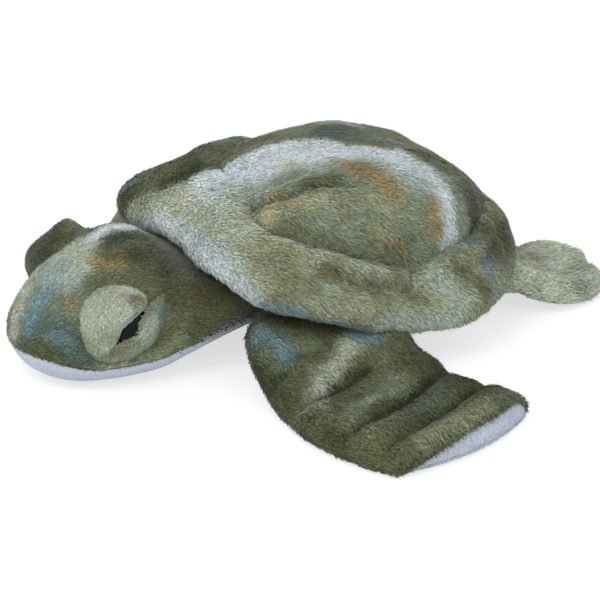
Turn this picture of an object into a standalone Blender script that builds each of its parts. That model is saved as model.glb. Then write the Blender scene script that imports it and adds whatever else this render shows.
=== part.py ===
# Plush sea turtle: printed plush over a soft filling, sewn from panels, with plastic eyes.
# Metres, +Z up. The turtle faces -Y and its left side is +X. The origin is on the floor, under the
# middle of the belly.

import math

import bmesh
import bpy
import numpy as np
from mathutils import Matrix, Vector

# Fabric and fits
PLUSH = 0.0022          # thickness of the plush with its backing
GAP = 0.0003            # between neighbouring pieces
FILL_GAP = 0.0005       # between a panel and the filling behind it
SIDE_SLACK = 0.0015     # more of the same where a panel stands steep
FLAT_DEPTH = 0.0005     # how deep a soft form is cut flat where it rests on the floor
CAGE_SINK = 0.0012      # how much deeper its cage goes, because softening draws it up again
OVERRUN = 0.01          # how far a cutter runs past what it cuts
MERGE_DISTANCE = 0.0001

# Body, measured on the seam where shell, rim and belly meet
BODY_HALF_WIDTH = 0.088
BODY_FRONT = 0.098
BODY_REAR = 0.101
BODY_HEIGHT = 0.1125
SEAM_HEIGHT = 0.046
FRONT_SQUARENESS = 2.6
RIM_FRONT_SQUARENESS = 3.2
REAR_SQUARENESS = 2.1
BODY_POINTS = 16
OUTLINE_POINTS = 360        # on the outline that the flippers' roots are set against
REAR_FALL_SHARE = 0.36  # how much lower the shell is at its rear end

# Padded rim of the shell
RIM_HALF_WIDTH = 0.117
RIM_FRONT = 0.127
RIM_REAR = 0.114
RIM_FRONT_EDGE_HEIGHT = 0.065
RIM_SIDE_EDGE_HEIGHT = 0.0245
RIM_REAR_EDGE_HEIGHT = 0.040
RIM_FRONT_TOP_HEIGHT = 0.108
RIM_SIDE_TOP_HEIGHT = 0.052
RIM_FRONT_THICKNESS = 0.027
RIM_SIDE_THICKNESS = 0.016
RIM_SEAM_DEPTH = 0.006
RIM_POINTS = 20
RIM_SECTION_POINTS = 8
RIM_RISE_POWER = 1.3       # how soon the rim rises from its sides to its front and rear
RIM_CREST_SHARE = 0.7      # part of that rise at which its top is at full height

# Neck: an upright round seat in the body and a level round seat in the head
NECK_TURN_RADIUS = 0.044
NECK_NOD_RADIUS = 0.027
NECK_REACH = 0.042      # from the turning axis forward to the nodding axis
NECK_AXIS_HEIGHT = 0.033
NECK_HALF_WIDTH = 0.050
NECK_SQUARENESS = 3.0
NECK_COLUMNS = 5
NECK_NOSE_ANGLES = (8, 35, 62, 90)            # degrees around the nodding bar, from its front
NECK_SEAT_ANGLES = (-10, 16, 38, 58, 76, 86)  # degrees around the turning seat, from its side
NECK_DROP_SHARE = 0.16     # how much lower the neck is at the rear of its seat

# Head
HEAD_LENGTH = 0.102     # from the nodding axis to the tip of the nose
HEAD_HALF_WIDTH = 0.056
HEAD_HEIGHT = 0.069
HEAD_SQUARENESS = 2.4
CROWN_COLUMNS = 8
CHIN_COLUMNS = 7
HEAD_FILLING_COLUMNS = 6

# Eyes and eyelids
EYE_RADIUS = 0.012
EYE_RISE = 0.010
EYE_SINK = 0.001
EYE_DOME_ANGLES = (72, 54, 36, 18, 0)  # degrees above the eye's edge, from its top down
EYE_STEM_RADIUS = 0.0022
EYE_STEM_LENGTH = 0.012
EYE_ALONG_SHARE = 0.41  # of the head's length, from the nodding axis to the eye
EYE_UP_SHARE = 0.66     # of the head's height
EYE_SPAN_SHARE = 0.1    # stretch of the crown that the eye is square to, as a part of length and height
EYE_LEAN_SHARES = (0.8, 0.6)  # how far the lids' opening leans to the front and to the top
WASHER_RADIUS = 0.008
WASHER_THICKNESS = 0.0014
WASHER_DEPTH = 0.0062
LID_RADIUS = 0.028
LID_RISE = 0.0155
LOWER_LID_RADIUS = 0.025
LOWER_LID_RISE = 0.0080
LID_SHIFT = 0.004        # from the eye's middle to the upper lid's, towards front and top
LID_SPLIT = 0.003       # how far in front of the eye's middle the lids part

# Front flippers
FRONT_FLIPPER_LENGTH = 0.136
FRONT_FLIPPER_CHORD = 0.100
FRONT_ROOT_RADIUS = 0.0082
FRONT_PUFF = 0.0085
FRONT_ROOT_HEIGHT = 0.028
FRONT_TIP_HEIGHT = 0.0082
FRONT_ROOT_SHIFT = -0.0385   # how far in front the root's middle is, along the hinge
FRONT_ROOT_TURN = math.radians(17)
LEFT_FRONT_SWEEP = math.radians(0)
RIGHT_FRONT_SWEEP = math.radians(40)

# Rear flippers
REAR_FLIPPER_LENGTH = 0.064
REAR_FLIPPER_CHORD = 0.062
REAR_ROOT_RADIUS = 0.0068
REAR_PUFF = 0.0062
REAR_ROOT_HEIGHT = 0.022
REAR_TIP_HEIGHT = 0.0085
REAR_ROOT_SHIFT = -0.027     # how far to the side the root's middle is, along the hinge
REAR_ROOT_TURN = math.radians(-73)
LEFT_REAR_SWEEP = math.radians(30)
RIGHT_REAR_SWEEP = math.radians(-12)

SEAM_ALLOWANCE = 0.005       # flat sewn margin that the filling doesn't reach
FILL_SHARE = 0.6             # least part of a panel's fullness that the filling takes up
END_FILL_SHARE = 0.35        # the filling's fullness at a flipper's end, as a part of the row before

# Outlines as (share of plan size, share of height) from the seam to the middle of each panel
DOME_ROW_SHARES = ((1.0, 0.0), (0.99, 0.42), (0.90, 0.77), (0.68, 0.94), (0.38, 0.995), (0.10, 1.0))
BELLY_ROW_SHARES = ((1.0, 0.0), (0.985, 0.42), (0.92, 0.82), (0.76, 1.0), (0.40, 1.0), (0.10, 1.0))

# Head from nose to neck: along, half width, seam height, crown rise and chin drop
HEAD_ROW_SHARES = (
    (0.00, 0.28, 0.36, 0.00, 0.00),
    (0.04, 0.44, 0.34, 0.34, 0.36),
    (0.14, 0.63, 0.29, 0.58, 0.80),
    (0.31, 0.78, 0.25, 0.80, 1.00),
    (0.52, 0.89, 0.24, 0.93, 1.00),
    (0.76, 0.97, 0.26, 1.00, 1.00),
    (1.00, 1.00, 0.30, 0.99, 0.90),
)

# Front flipper from root to end: (along, across) of its leading edge, the same of its trailing edge,
# and how full it is; the full rows alternate with the sewn channels
FRONT_FLIPPER_SHARES = (
    (0.00, -0.47, 0.00, 0.48, 0.74),
    (0.14, -0.53, 0.11, 0.50, 1.00),
    (0.32, -0.52, 0.24, 0.55, 1.00),
    (0.50, -0.46, 0.35, 0.62, 0.62),
    (0.66, -0.37, 0.44, 0.70, 0.98),
    (0.80, -0.24, 0.51, 0.80, 0.58),
    (0.92, -0.08, 0.57, 0.91, 0.86),
    (1.01, 0.09, 0.62, 1.01, 0.62),
    (1.07, 0.25, 0.66, 1.10, 0.00),
)
REAR_FLIPPER_SHARES = (
    (0.00, -0.36, 0.00, 0.44, 0.80),
    (0.25, -0.47, 0.25, 0.49, 1.00),
    (0.52, -0.55, 0.52, 0.53, 1.00),
    (0.80, -0.52, 0.80, 0.50, 0.80),
    (0.94, -0.38, 0.95, 0.36, 0.50),
    (1.00, -0.22, 1.00, 0.20, 0.00),
)
FRONT_END_BOW_SHARE = 0.06
FRONT_COLUMNS = 6
REAR_END_BOW_SHARE = 0.04
REAR_COLUMNS = 5
ROOT_ROW_SHARES = (0.0, 0.28, 0.66)  # rows around the rounded root, from its inmost line to the hinge
SWEEP_RUN_SHARE = 0.55     # part of a flipper's length along which it bends back
FALL_RUN_SHARE = 0.48      # part of its length along which it comes down to the floor
FLIPPER_SQUARENESS = 2.2
UNDERSIDE_COLUMNS = 5

# Colours as linear values
PRINT_OLIVE = (0.125, 0.125, 0.065)
PRINT_SAGE = (0.235, 0.245, 0.155)
PRINT_CREAM = (0.40, 0.41, 0.30)
PLAIN_WHITE = (0.72, 0.72, 0.76)
FILLING_WHITE = (0.80, 0.79, 0.76)
EYE_BLACK = (0.006, 0.007, 0.006)
WASHER_WHITE = (0.75, 0.75, 0.72)


def clear_scene():
    for old in list(bpy.data.objects):
        bpy.data.objects.remove(old, do_unlink=True)


def new_collection(name):
    made = bpy.data.collections.new(name)
    bpy.context.scene.collection.children.link(made)
    return made


clear_scene()
TURTLE = new_collection("plush_turtle")
CUTTERS = new_collection("cutters")


def material(name, colour, roughness):
    made = bpy.data.materials.new(name)
    made.use_nodes = True
    shader = made.node_tree.nodes["Principled BSDF"]
    shader.inputs["Base Color"].default_value = (*colour, 1.0)
    shader.inputs["Roughness"].default_value = roughness
    shader.inputs["Metallic"].default_value = 0.0
    made.diffuse_color = (*colour, 1.0)
    return made


OLIVE_PLUSH = material("olive_printed_plush", PRINT_OLIVE, 0.95)
SAGE_PLUSH = material("sage_printed_plush", PRINT_SAGE, 0.95)
CREAM_PLUSH = material("cream_printed_plush", PRINT_CREAM, 0.95)
WHITE_PLUSH = material("white_plush", PLAIN_WHITE, 0.95)
FILLING = material("polyester_filling", FILLING_WHITE, 1.0)
EYE_PLASTIC = material("black_eye_plastic", EYE_BLACK, 0.12)
WASHER_PLASTIC = material("white_washer_plastic", WASHER_WHITE, 0.45)


def add_object(name, mesh, finish):
    """Link a mesh as a piece of the turtle, or as a hidden cutter where it has no finish."""
    made = bpy.data.objects.new(name, mesh)
    if finish is None:
        CUTTERS.objects.link(made)
        made.hide_render = True
        made.display_type = "WIRE"
    else:
        TURTLE.objects.link(made)
        mesh.materials.append(finish)
    return made


def add_modifier(obj, kind, **values):
    made = obj.modifiers.new(kind.lower(), kind)
    for key, value in values.items():
        setattr(made, key, value)
    return made


def soften(obj, levels=1, keep_corners=False):
    boundary = "PRESERVE_CORNERS" if keep_corners else "ALL"
    add_modifier(obj, "SUBSURF", levels=levels, render_levels=levels, boundary_smooth=boundary)


def cut(obj, *cutters):
    for cutter in cutters:
        add_modifier(obj, "BOOLEAN", operation="DIFFERENCE", solver="EXACT", object=cutter)


def mesh_from_rows(name, rows, closed_rows, cap_first, cap_last, inside=None):
    """Join rows of points by faces. Closed rows are rings; a cap closes the first or the last row.
    An open surface is turned so that it faces away from the point inside."""
    rows = np.asarray(rows, float)
    count, width = rows.shape[:2]
    spans = width if closed_rows else width - 1
    faces = [
        (r * width + c, r * width + (c + 1) % width, (r + 1) * width + (c + 1) % width, (r + 1) * width + c)
        for r in range(count - 1)
        for c in range(spans)
    ]
    if cap_first:
        faces.append(tuple(reversed(range(width))))
    if cap_last:
        faces.append(tuple(range((count - 1) * width, count * width)))
    mesh = bpy.data.meshes.new(name)
    mesh.from_pydata(rows.reshape(-1, 3).tolist(), [], faces)
    work = bmesh.new()
    work.from_mesh(mesh)
    bmesh.ops.recalc_face_normals(work, faces=work.faces)
    if inside is not None:
        middle = Vector(inside)
        facing = sum(f.normal.dot(f.calc_center_median() - middle) * f.calc_area() for f in work.faces)
        if facing < 0:
            bmesh.ops.reverse_faces(work, faces=work.faces)
    for face in work.faces:
        face.smooth = True
    work.to_mesh(mesh)
    work.free()
    return mesh


def panel(name, rows, finish, closed_rows=False, cap_last=False, keep_corners=False, inside=(0, 0, 0)):
    """A sewn panel: an open surface, softened and given the thickness of the plush inwards."""
    made = add_object(name, mesh_from_rows(name, rows, closed_rows, False, cap_last, inside), finish)
    soften(made, keep_corners=keep_corners)
    add_modifier(made, "SOLIDIFY", thickness=PLUSH, offset=-1.0, use_even_offset=False)
    return made


def stuffed(name, rings, finish, creases=()):
    """A closed soft form from rings. Creases are pairs of rows of points that stay sharp, as a seam does."""
    mesh = mesh_from_rows(name, rings, True, True, True)
    if len(creases):
        sharp = {frozenset(pair) for pair in creases}
        weights = [float(frozenset(edge.vertices) in sharp) for edge in mesh.edges]
        mesh.attributes.new("crease_edge", "FLOAT", "EDGE").data.foreach_set("value", weights)
    made = add_object(name, mesh, finish)
    soften(made)
    return made


def block(name, low, high):
    """A plain box cutter between two corners."""
    mesh = bpy.data.meshes.new(name)
    work = bmesh.new()
    bmesh.ops.create_cube(work, size=1.0)
    low, high = Vector(low), Vector(high)
    size = high - low
    bmesh.ops.scale(work, vec=size, verts=work.verts)
    bmesh.ops.translate(work, vec=(low + high) / 2, verts=work.verts)
    work.to_mesh(mesh)
    work.free()
    return add_object(name, mesh, None)


def rod(name, radius, length, middle, direction, finish=None, segments=48):
    """A round bar about a line through its middle."""
    mesh = bpy.data.meshes.new(name)
    work = bmesh.new()
    round_bar = {"radius1": radius, "radius2": radius, "depth": length}
    bmesh.ops.create_cone(work, cap_ends=True, segments=segments, **round_bar)
    turn = Vector((0, 0, 1)).rotation_difference(Vector(direction)).to_matrix().to_4x4()
    bmesh.ops.transform(work, matrix=Matrix.Translation(middle) @ turn, verts=work.verts)
    work.to_mesh(mesh)
    work.free()
    return add_object(name, mesh, finish)


def bulge(name, radii, middle, turn, finish=None, segments=16, rings=10):
    """An ellipsoid with its third radius along the turned Z axis."""
    mesh = bpy.data.meshes.new(name)
    work = bmesh.new()
    bmesh.ops.create_uvsphere(work, u_segments=segments, v_segments=rings, radius=1.0)
    size = Matrix.Diagonal((*radii, 1.0))
    bmesh.ops.transform(work, matrix=Matrix.Translation(middle) @ turn.to_4x4() @ size, verts=work.verts)
    for face in work.faces:
        face.smooth = True
    work.to_mesh(mesh)
    work.free()
    return add_object(name, mesh, finish)


def arch(count, squareness):
    """Points of a rounded arch from one foot to the other: across from -1 to 1, up from 0 to 1."""
    angle = np.linspace(-math.pi / 2, math.pi / 2, count)
    across = np.sign(np.sin(angle)) * np.abs(np.sin(angle)) ** (2 / squareness)
    up = np.abs(np.cos(angle)) ** (2 / squareness)
    up[[0, -1]] = 0.0
    return across, up


def plan_outline(points, half_width, front, rear, front_squareness=FRONT_SQUARENESS):
    """Closed outline seen from above: a square-shouldered half oval in front, a rounder one behind."""
    angle = np.linspace(0, 2 * math.pi, points, endpoint=False) + math.pi / points
    side, along = np.cos(angle), np.sin(angle)
    power = 2 / np.where(along < 0, front_squareness, REAR_SQUARENESS)
    x = half_width * np.sign(side) * np.abs(side) ** power
    y = np.where(along < 0, front, rear) * np.sign(along) * np.abs(along) ** power
    return np.stack([x, y], -1)


def belly_share(height):
    """Share of the body's plan that the belly reaches at a height, after softening has drawn it in."""
    shares = np.array(BELLY_ROW_SHARES)
    soft = shares.copy()
    soft[1:-1] = (shares[:-2] + 4 * shares[1:-1] + shares[2:]) / 6
    depth_share = (SEAM_HEIGHT - height) / (SEAM_HEIGHT + FLAT_DEPTH)
    ring_share = (2 + math.cos(2 * math.pi / BODY_POINTS)) / 3
    return np.interp(depth_share, soft[:, 1], soft[:, 0]) * ring_share


def root_place(turn, shift, height, radius):
    """Middle of a flipper's hinge: its rounded root lies a clearance outside the belly at that height."""
    outward = np.array((math.cos(turn), -math.sin(turn)))
    along = np.array((math.sin(turn), math.cos(turn)))
    share = belly_share(height + PLUSH)
    belly = plan_outline(OUTLINE_POINTS, BODY_HALF_WIDTH * share, BODY_FRONT * share, BODY_REAR * share)
    place = outward * ((belly @ outward).max() + radius + GAP) + along * shift
    return Vector((*place, 0))


def body_rows(row_shares, rise, grow=0.0, shrink_rise=0.0):
    """Rings of the body from its seam to the middle of the shell or, with a negative rise, of the belly."""
    outline = plan_outline(
        BODY_POINTS, BODY_HALF_WIDTH + grow, BODY_FRONT + grow, BODY_REAR + grow
    )
    rows = []
    for plan_share, height_share in row_shares:
        height = np.full(len(outline), height_share * (rise - math.copysign(shrink_rise, rise)))
        if rise > 0:
            height *= 1 - REAR_FALL_SHARE * plan_share * np.clip(outline[:, 1] / BODY_REAR, 0, 1)
        rows.append(np.column_stack([outline * plan_share, SEAM_HEIGHT + height]))
    return np.array(rows)


def seam_lift(rows, lift):
    """Raise a panel's rows by the clearance at the seam, less and less towards the middle."""
    share = np.linspace(1, 0, len(rows))[:, None]
    rows[..., 2] += lift * share
    return rows


def floor_cutter():
    reach = BODY_FRONT + NECK_REACH + HEAD_LENGTH + FRONT_FLIPPER_LENGTH
    return block("floor_cutter", (-reach, -reach, -OVERRUN), (reach, reach, 0))


def neck_pocket():
    """The upright round seat that the neck turns in, open below and in front."""
    top = NECK_AXIS_HEIGHT + NECK_NOD_RADIUS + GAP
    height = top + OVERRUN
    middle = (0, -BODY_FRONT, top - height / 2)
    return rod("neck_pocket_cutter", NECK_TURN_RADIUS + GAP, height, middle, (0, 0, 1))


def make_body(floor, pocket):
    dome_rise = BODY_HEIGHT - SEAM_HEIGHT
    belly_rise = -(SEAM_HEIGHT + FLAT_DEPTH)
    dome = panel(
        "shell_top_panel",
        seam_lift(body_rows(DOME_ROW_SHARES, dome_rise), GAP),
        SAGE_PLUSH, closed_rows=True, cap_last=True, inside=(0, 0, SEAM_HEIGHT),
    )
    belly = panel(
        "belly_panel",
        seam_lift(body_rows(BELLY_ROW_SHARES, belly_rise), -GAP),
        WHITE_PLUSH, closed_rows=True, cap_last=True, inside=(0, 0, SEAM_HEIGHT),
    )
    inset = PLUSH + FILL_GAP
    upper = body_rows(DOME_ROW_SHARES[2:], dome_rise, -inset - SIDE_SLACK, inset + FILL_GAP)
    lower = body_rows(BELLY_ROW_SHARES, belly_rise, -inset, inset)
    filling = stuffed("body_filling", np.concatenate([lower[::-1], upper]), FILLING)
    cut(dome, pocket)
    cut(belly, pocket, floor)
    cut(filling, pocket)
    grown_upper = body_rows(DOME_ROW_SHARES[1:], dome_rise, GAP, -GAP)
    grown_lower = body_rows(BELLY_ROW_SHARES, belly_rise, GAP, -GAP)
    first = (len(grown_lower) - 1) * BODY_POINTS
    seam = [(first + k, first + (k + 1) % BODY_POINTS) for k in range(BODY_POINTS)]
    return stuffed("body_form_cutter", np.concatenate([grown_lower[::-1], grown_upper]), None, seam)


def make_rim(body_form):
    """The padded rim: flattened oval sections that hang outwards from the seam, higher over the neck."""
    outer = plan_outline(RIM_POINTS, RIM_HALF_WIDTH, RIM_FRONT, RIM_REAR, RIM_FRONT_SQUARENESS)
    inner_depth = RIM_SEAM_DEPTH
    inner = plan_outline(
        RIM_POINTS, BODY_HALF_WIDTH - inner_depth, BODY_FRONT - 2 * inner_depth, BODY_REAR - inner_depth
    )
    front_share = np.clip(-outer[:, 1] / RIM_FRONT, 0, 1) ** RIM_RISE_POWER
    rear_share = np.clip(outer[:, 1] / RIM_REAR, 0, 1) ** RIM_RISE_POWER
    edge = RIM_SIDE_EDGE_HEIGHT + (RIM_FRONT_EDGE_HEIGHT - RIM_SIDE_EDGE_HEIGHT) * front_share
    edge += (RIM_REAR_EDGE_HEIGHT - RIM_SIDE_EDGE_HEIGHT) * rear_share
    raised = np.clip(front_share / RIM_CREST_SHARE, 0, 1)
    raised = raised * raised * (3 - 2 * raised)
    top = RIM_SIDE_TOP_HEIGHT + (RIM_FRONT_TOP_HEIGHT - RIM_SIDE_TOP_HEIGHT) * raised
    thick = RIM_SIDE_THICKNESS + (RIM_FRONT_THICKNESS - RIM_SIDE_THICKNESS) * front_share
    low = np.column_stack([outer, edge])
    high = np.column_stack([inner, top])
    long_axis = (low - high) / 2
    middle = (low + high) / 2
    outward = long_axis / np.linalg.norm(long_axis, axis=1)[:, None]
    level = outward[:, :2] / np.linalg.norm(outward[:, :2], axis=1)[:, None]
    across = np.column_stack([-level * outward[:, 2:], np.linalg.norm(outward[:, :2], axis=1)])
    section = np.linspace(0, 2 * math.pi, RIM_SECTION_POINTS, endpoint=False)
    rings = (
        middle[:, None]
        + long_axis[:, None] * np.cos(section)[None, :, None]
        + across[:, None] * (thick[:, None] / 2 * np.sin(section))[..., None]
    )
    rings = np.concatenate([rings, rings[:1]])
    mesh = mesh_from_rows("shell_rim", rings, True, False, False)
    work = bmesh.new()
    work.from_mesh(mesh)
    bmesh.ops.remove_doubles(work, verts=work.verts, dist=MERGE_DISTANCE)
    bmesh.ops.recalc_face_normals(work, faces=work.faces)
    work.to_mesh(mesh)
    work.free()
    rim = add_object("shell_rim", mesh, OLIVE_PLUSH)
    soften(rim)
    cut(rim, body_form)
    return rim


def make_neck():
    """Front: a level round bar that the head nods on. Rear: an upright round seat that turns in the body."""
    turn_axis, nod_axis = -BODY_FRONT, -BODY_FRONT - NECK_REACH
    stations = []
    for degrees in NECK_NOSE_ANGLES:
        angle = math.radians(degrees)
        stations.append((nod_axis - NECK_NOD_RADIUS * math.cos(angle), NECK_HALF_WIDTH,
                         NECK_NOD_RADIUS * math.sin(angle)))
    stations.append((nod_axis + NECK_REACH / 2, NECK_HALF_WIDTH, NECK_NOD_RADIUS))
    for degrees in NECK_SEAT_ANGLES:
        angle = math.radians(degrees)
        drop = NECK_DROP_SHARE * max(math.sin(angle), 0) ** 3
        stations.append((turn_axis + NECK_TURN_RADIUS * math.sin(angle), NECK_TURN_RADIUS * math.cos(angle),
                         NECK_NOD_RADIUS * (1 - drop)))
    across, up = arch(NECK_COLUMNS, NECK_SQUARENESS)
    rings = []
    for y, half_width, half_height in stations:
        level = np.full(len(across), y)
        top = np.column_stack([across * half_width, level, NECK_AXIS_HEIGHT + up * half_height])
        bottom = np.column_stack([top[:, 0], top[:, 1], NECK_AXIS_HEIGHT - up * half_height])
        rings.append(np.concatenate([top, bottom[-2:0:-1]]))
    return stuffed("neck", rings, OLIVE_PLUSH)


def head_rows(columns, upper, inset=0.0, grow=0.0):
    """Arched rows of the head from nose to neck, above the seam or below it."""
    nod_axis = -BODY_FRONT - NECK_REACH
    across, up = arch(columns, HEAD_SQUARENESS)
    rows = []
    for along, width_share, seam_share, crown_share, chin_share in HEAD_ROW_SHARES:
        seam = HEAD_HEIGHT * seam_share
        half_width = HEAD_HALF_WIDTH * width_share + grow
        start = (GAP / 2 + PLUSH) if not inset else 0.0
        if upper:
            full = (HEAD_HEIGHT - seam - GAP / 2 - PLUSH) * crown_share - inset + grow
            height = seam + start + up * full
        else:
            sink = -inset if inset else CAGE_SINK + grow
            full = (seam + FLAT_DEPTH - GAP / 2 - PLUSH) * chin_share + sink
            height = seam - start - up * full
        side = half_width - (inset + PLUSH + SIDE_SLACK if inset else 0)
        y = nod_axis - HEAD_LENGTH * (1 - along) - (grow if along == 0 else 0)
        rows.append(np.column_stack([across * side, np.full(columns, y), height]))
    return np.array(rows)


def head_middle():
    return (0, -BODY_FRONT - NECK_REACH - HEAD_LENGTH / 2, HEAD_HEIGHT / 2)


def make_head_filling():
    upper = head_rows(HEAD_FILLING_COLUMNS, True, FILL_GAP)[1:]
    lower = head_rows(HEAD_FILLING_COLUMNS, False, FILL_GAP)[1:]
    return stuffed("head_filling", [np.concatenate([u, b[-2:0:-1]]) for u, b in zip(upper, lower)], FILLING)


def make_head_form():
    """The outside of crown and chin as one cutter, a clearance larger, with a sharp line at both seams."""
    upper = head_rows(CROWN_COLUMNS, True, grow=GAP)
    lower = head_rows(CHIN_COLUMNS, False, grow=GAP)
    width = CROWN_COLUMNS + CHIN_COLUMNS
    corners = (0, CROWN_COLUMNS - 1, CROWN_COLUMNS, width - 1)
    seams = [
        (row * width + corner, (row + 1) * width + corner)
        for row in range(len(HEAD_ROW_SHARES) - 1)
        for corner in corners
    ]
    last = (len(HEAD_ROW_SHARES) - 1) * width
    seams += [(start + k, start + (k + 1) % width) for start in (0, last) for k in range(width)]
    rings = [np.concatenate([u, b[::-1]]) for u, b in zip(upper, lower)]
    return stuffed("head_form_cutter", rings, None, seams)


def make_head(floor):
    middle = head_middle()
    crown = panel("head_crown_panel", head_rows(CROWN_COLUMNS, True), SAGE_PLUSH, keep_corners=True, inside=middle)
    chin = panel("chin_panel", head_rows(CHIN_COLUMNS, False), WHITE_PLUSH, keep_corners=True, inside=middle)
    filling = make_head_filling()
    nod_axis = -BODY_FRONT - NECK_REACH
    groove = rod(
        "head_groove_cutter", NECK_NOD_RADIUS + GAP, 2 * (NECK_HALF_WIDTH + GAP),
        (0, nod_axis, NECK_AXIS_HEIGHT), (1, 0, 0),
    )
    cut(chin, floor)
    cut(filling, groove)
    return crown, chin, filling, make_head_form()


def crown_point(along, height):
    """A point of the crown's left side at a share of the head's length from the nose, and a height."""
    shares = np.array(HEAD_ROW_SHARES)
    width, seam, crown = (np.interp(along, shares[:, 0], shares[:, k]) for k in (1, 2, 3))
    seam_height = HEAD_HEIGHT * seam
    up = (height - seam_height) / ((HEAD_HEIGHT - seam_height) * crown)
    x = HEAD_HALF_WIDTH * width * (1 - up**HEAD_SQUARENESS) ** (1 / HEAD_SQUARENESS)
    return Vector((x, -BODY_FRONT - NECK_REACH - HEAD_LENGTH * (1 - along), height))


def eye_frame(side):
    """The eye's seat on the crown, square to the fabric there: Z points out and Y to the front and top."""
    along, height = 1 - EYE_ALONG_SHARE, HEAD_HEIGHT * EYE_UP_SHARE
    place = crown_point(along, height)
    rearward = crown_point(along + EYE_SPAN_SHARE, height) - crown_point(along - EYE_SPAN_SHARE, height)
    above, below = height * (1 + EYE_SPAN_SHARE), height * (1 - EYE_SPAN_SHARE)
    upward = crown_point(along, above) - crown_point(along, below)
    out = rearward.cross(upward).normalized()
    if out.x < 0:
        out.negate()
    to_front, to_top = EYE_LEAN_SHARES
    front = (upward.normalized() * to_top - rearward.normalized() * to_front).normalized()
    front = (front - out * front.dot(out)).normalized()
    if side < 0:
        place.x, out.x, front.x = -place.x, -out.x, -front.x
    turn = Matrix((front.cross(out), front, out)).transposed()
    return place, out, front, turn


def turned(name, profile, place, turn, finish, steps):
    """A shape turned about its own Z axis from (radius, height) points that run from top to bottom."""
    mesh = bpy.data.meshes.new(name)
    edges = [(k, k + 1) for k in range(len(profile) - 1)]
    mesh.from_pydata([(radius, 0, height) for radius, height in profile], edges, [])
    made = add_object(name, mesh, finish)
    add_modifier(made, "SCREW", angle=2 * math.pi, steps=steps, render_steps=steps, use_merge_vertices=True,
                 merge_threshold=MERGE_DISTANCE)
    made.matrix_world = Matrix.Translation(place) @ turn.to_4x4()
    return made


def eye_profile(grow, stem_length):
    """A shallow dome with a flat back and a stem; grown by a clearance it cuts the eye's own seat."""
    radius, rise = EYE_RADIUS + grow, EYE_RISE + grow
    points = [(0.0, rise)]
    for degrees in EYE_DOME_ANGLES:
        angle = math.radians(degrees)
        points.append((radius * math.cos(angle), rise * math.sin(angle)))
    back = -EYE_SINK - grow
    stem = EYE_STEM_RADIUS + grow
    return points + [(radius, back), (stem, back), (stem, -stem_length), (0.0, -stem_length)]


def make_eye(side, label, crown, filling, form):
    place, out, front, turn = eye_frame(side)
    eye = turned("eye_" + label, eye_profile(0.0, EYE_STEM_LENGTH), place, turn, EYE_PLASTIC, 18)
    seat_profile = eye_profile(GAP, EYE_STEM_LENGTH + OVERRUN)
    seat = turned("eye_seat_cutter_" + label, seat_profile, place, turn, None, 24)
    cut(crown, seat)
    pocket_length = EYE_STEM_LENGTH + OVERRUN / 2
    pocket = rod("washer_pocket_cutter_" + label, WASHER_RADIUS + 2 * GAP, pocket_length,
                 place - out * pocket_length / 2, out, segments=24)
    cut(filling, pocket)
    washer = rod("eye_washer_" + label, WASHER_RADIUS, WASHER_THICKNESS, place - out * WASHER_DEPTH, out,
                 WASHER_PLASTIC, segments=24)
    stem = rod("eye_stem_cutter_" + label, EYE_STEM_RADIUS + GAP, 2 * EYE_STEM_LENGTH,
               place - out * EYE_STEM_LENGTH, out, segments=18)
    cut(washer, stem)
    reach = 2 * LID_RADIUS
    lid_middle = place + front * LID_SHIFT
    upper = bulge("upper_eyelid_" + label, (LID_RADIUS, LID_RADIUS, LID_RISE), lid_middle, turn, CREAM_PLUSH)
    lower = bulge("lower_eyelid_" + label, (LOWER_LID_RADIUS, LOWER_LID_RADIUS, LOWER_LID_RISE), place, turn,
                  CREAM_PLUSH)
    behind = block("upper_lid_cutter_" + label, (-reach, -reach, -reach), (reach, LID_SPLIT, reach))
    before = block("lower_lid_cutter_" + label, (-reach, LID_SPLIT - GAP, -reach), (reach, reach, reach))
    for cutter in (behind, before):
        cutter.matrix_world = Matrix.Translation(place) @ turn.to_4x4()
    cut(upper, behind, form, seat)
    cut(lower, before, form, seat)
    return eye, washer, upper, lower


def smooth_share(value):
    value = min(max(value, 0.0), 1.0)
    return value * value * (3 - 2 * value)


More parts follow.
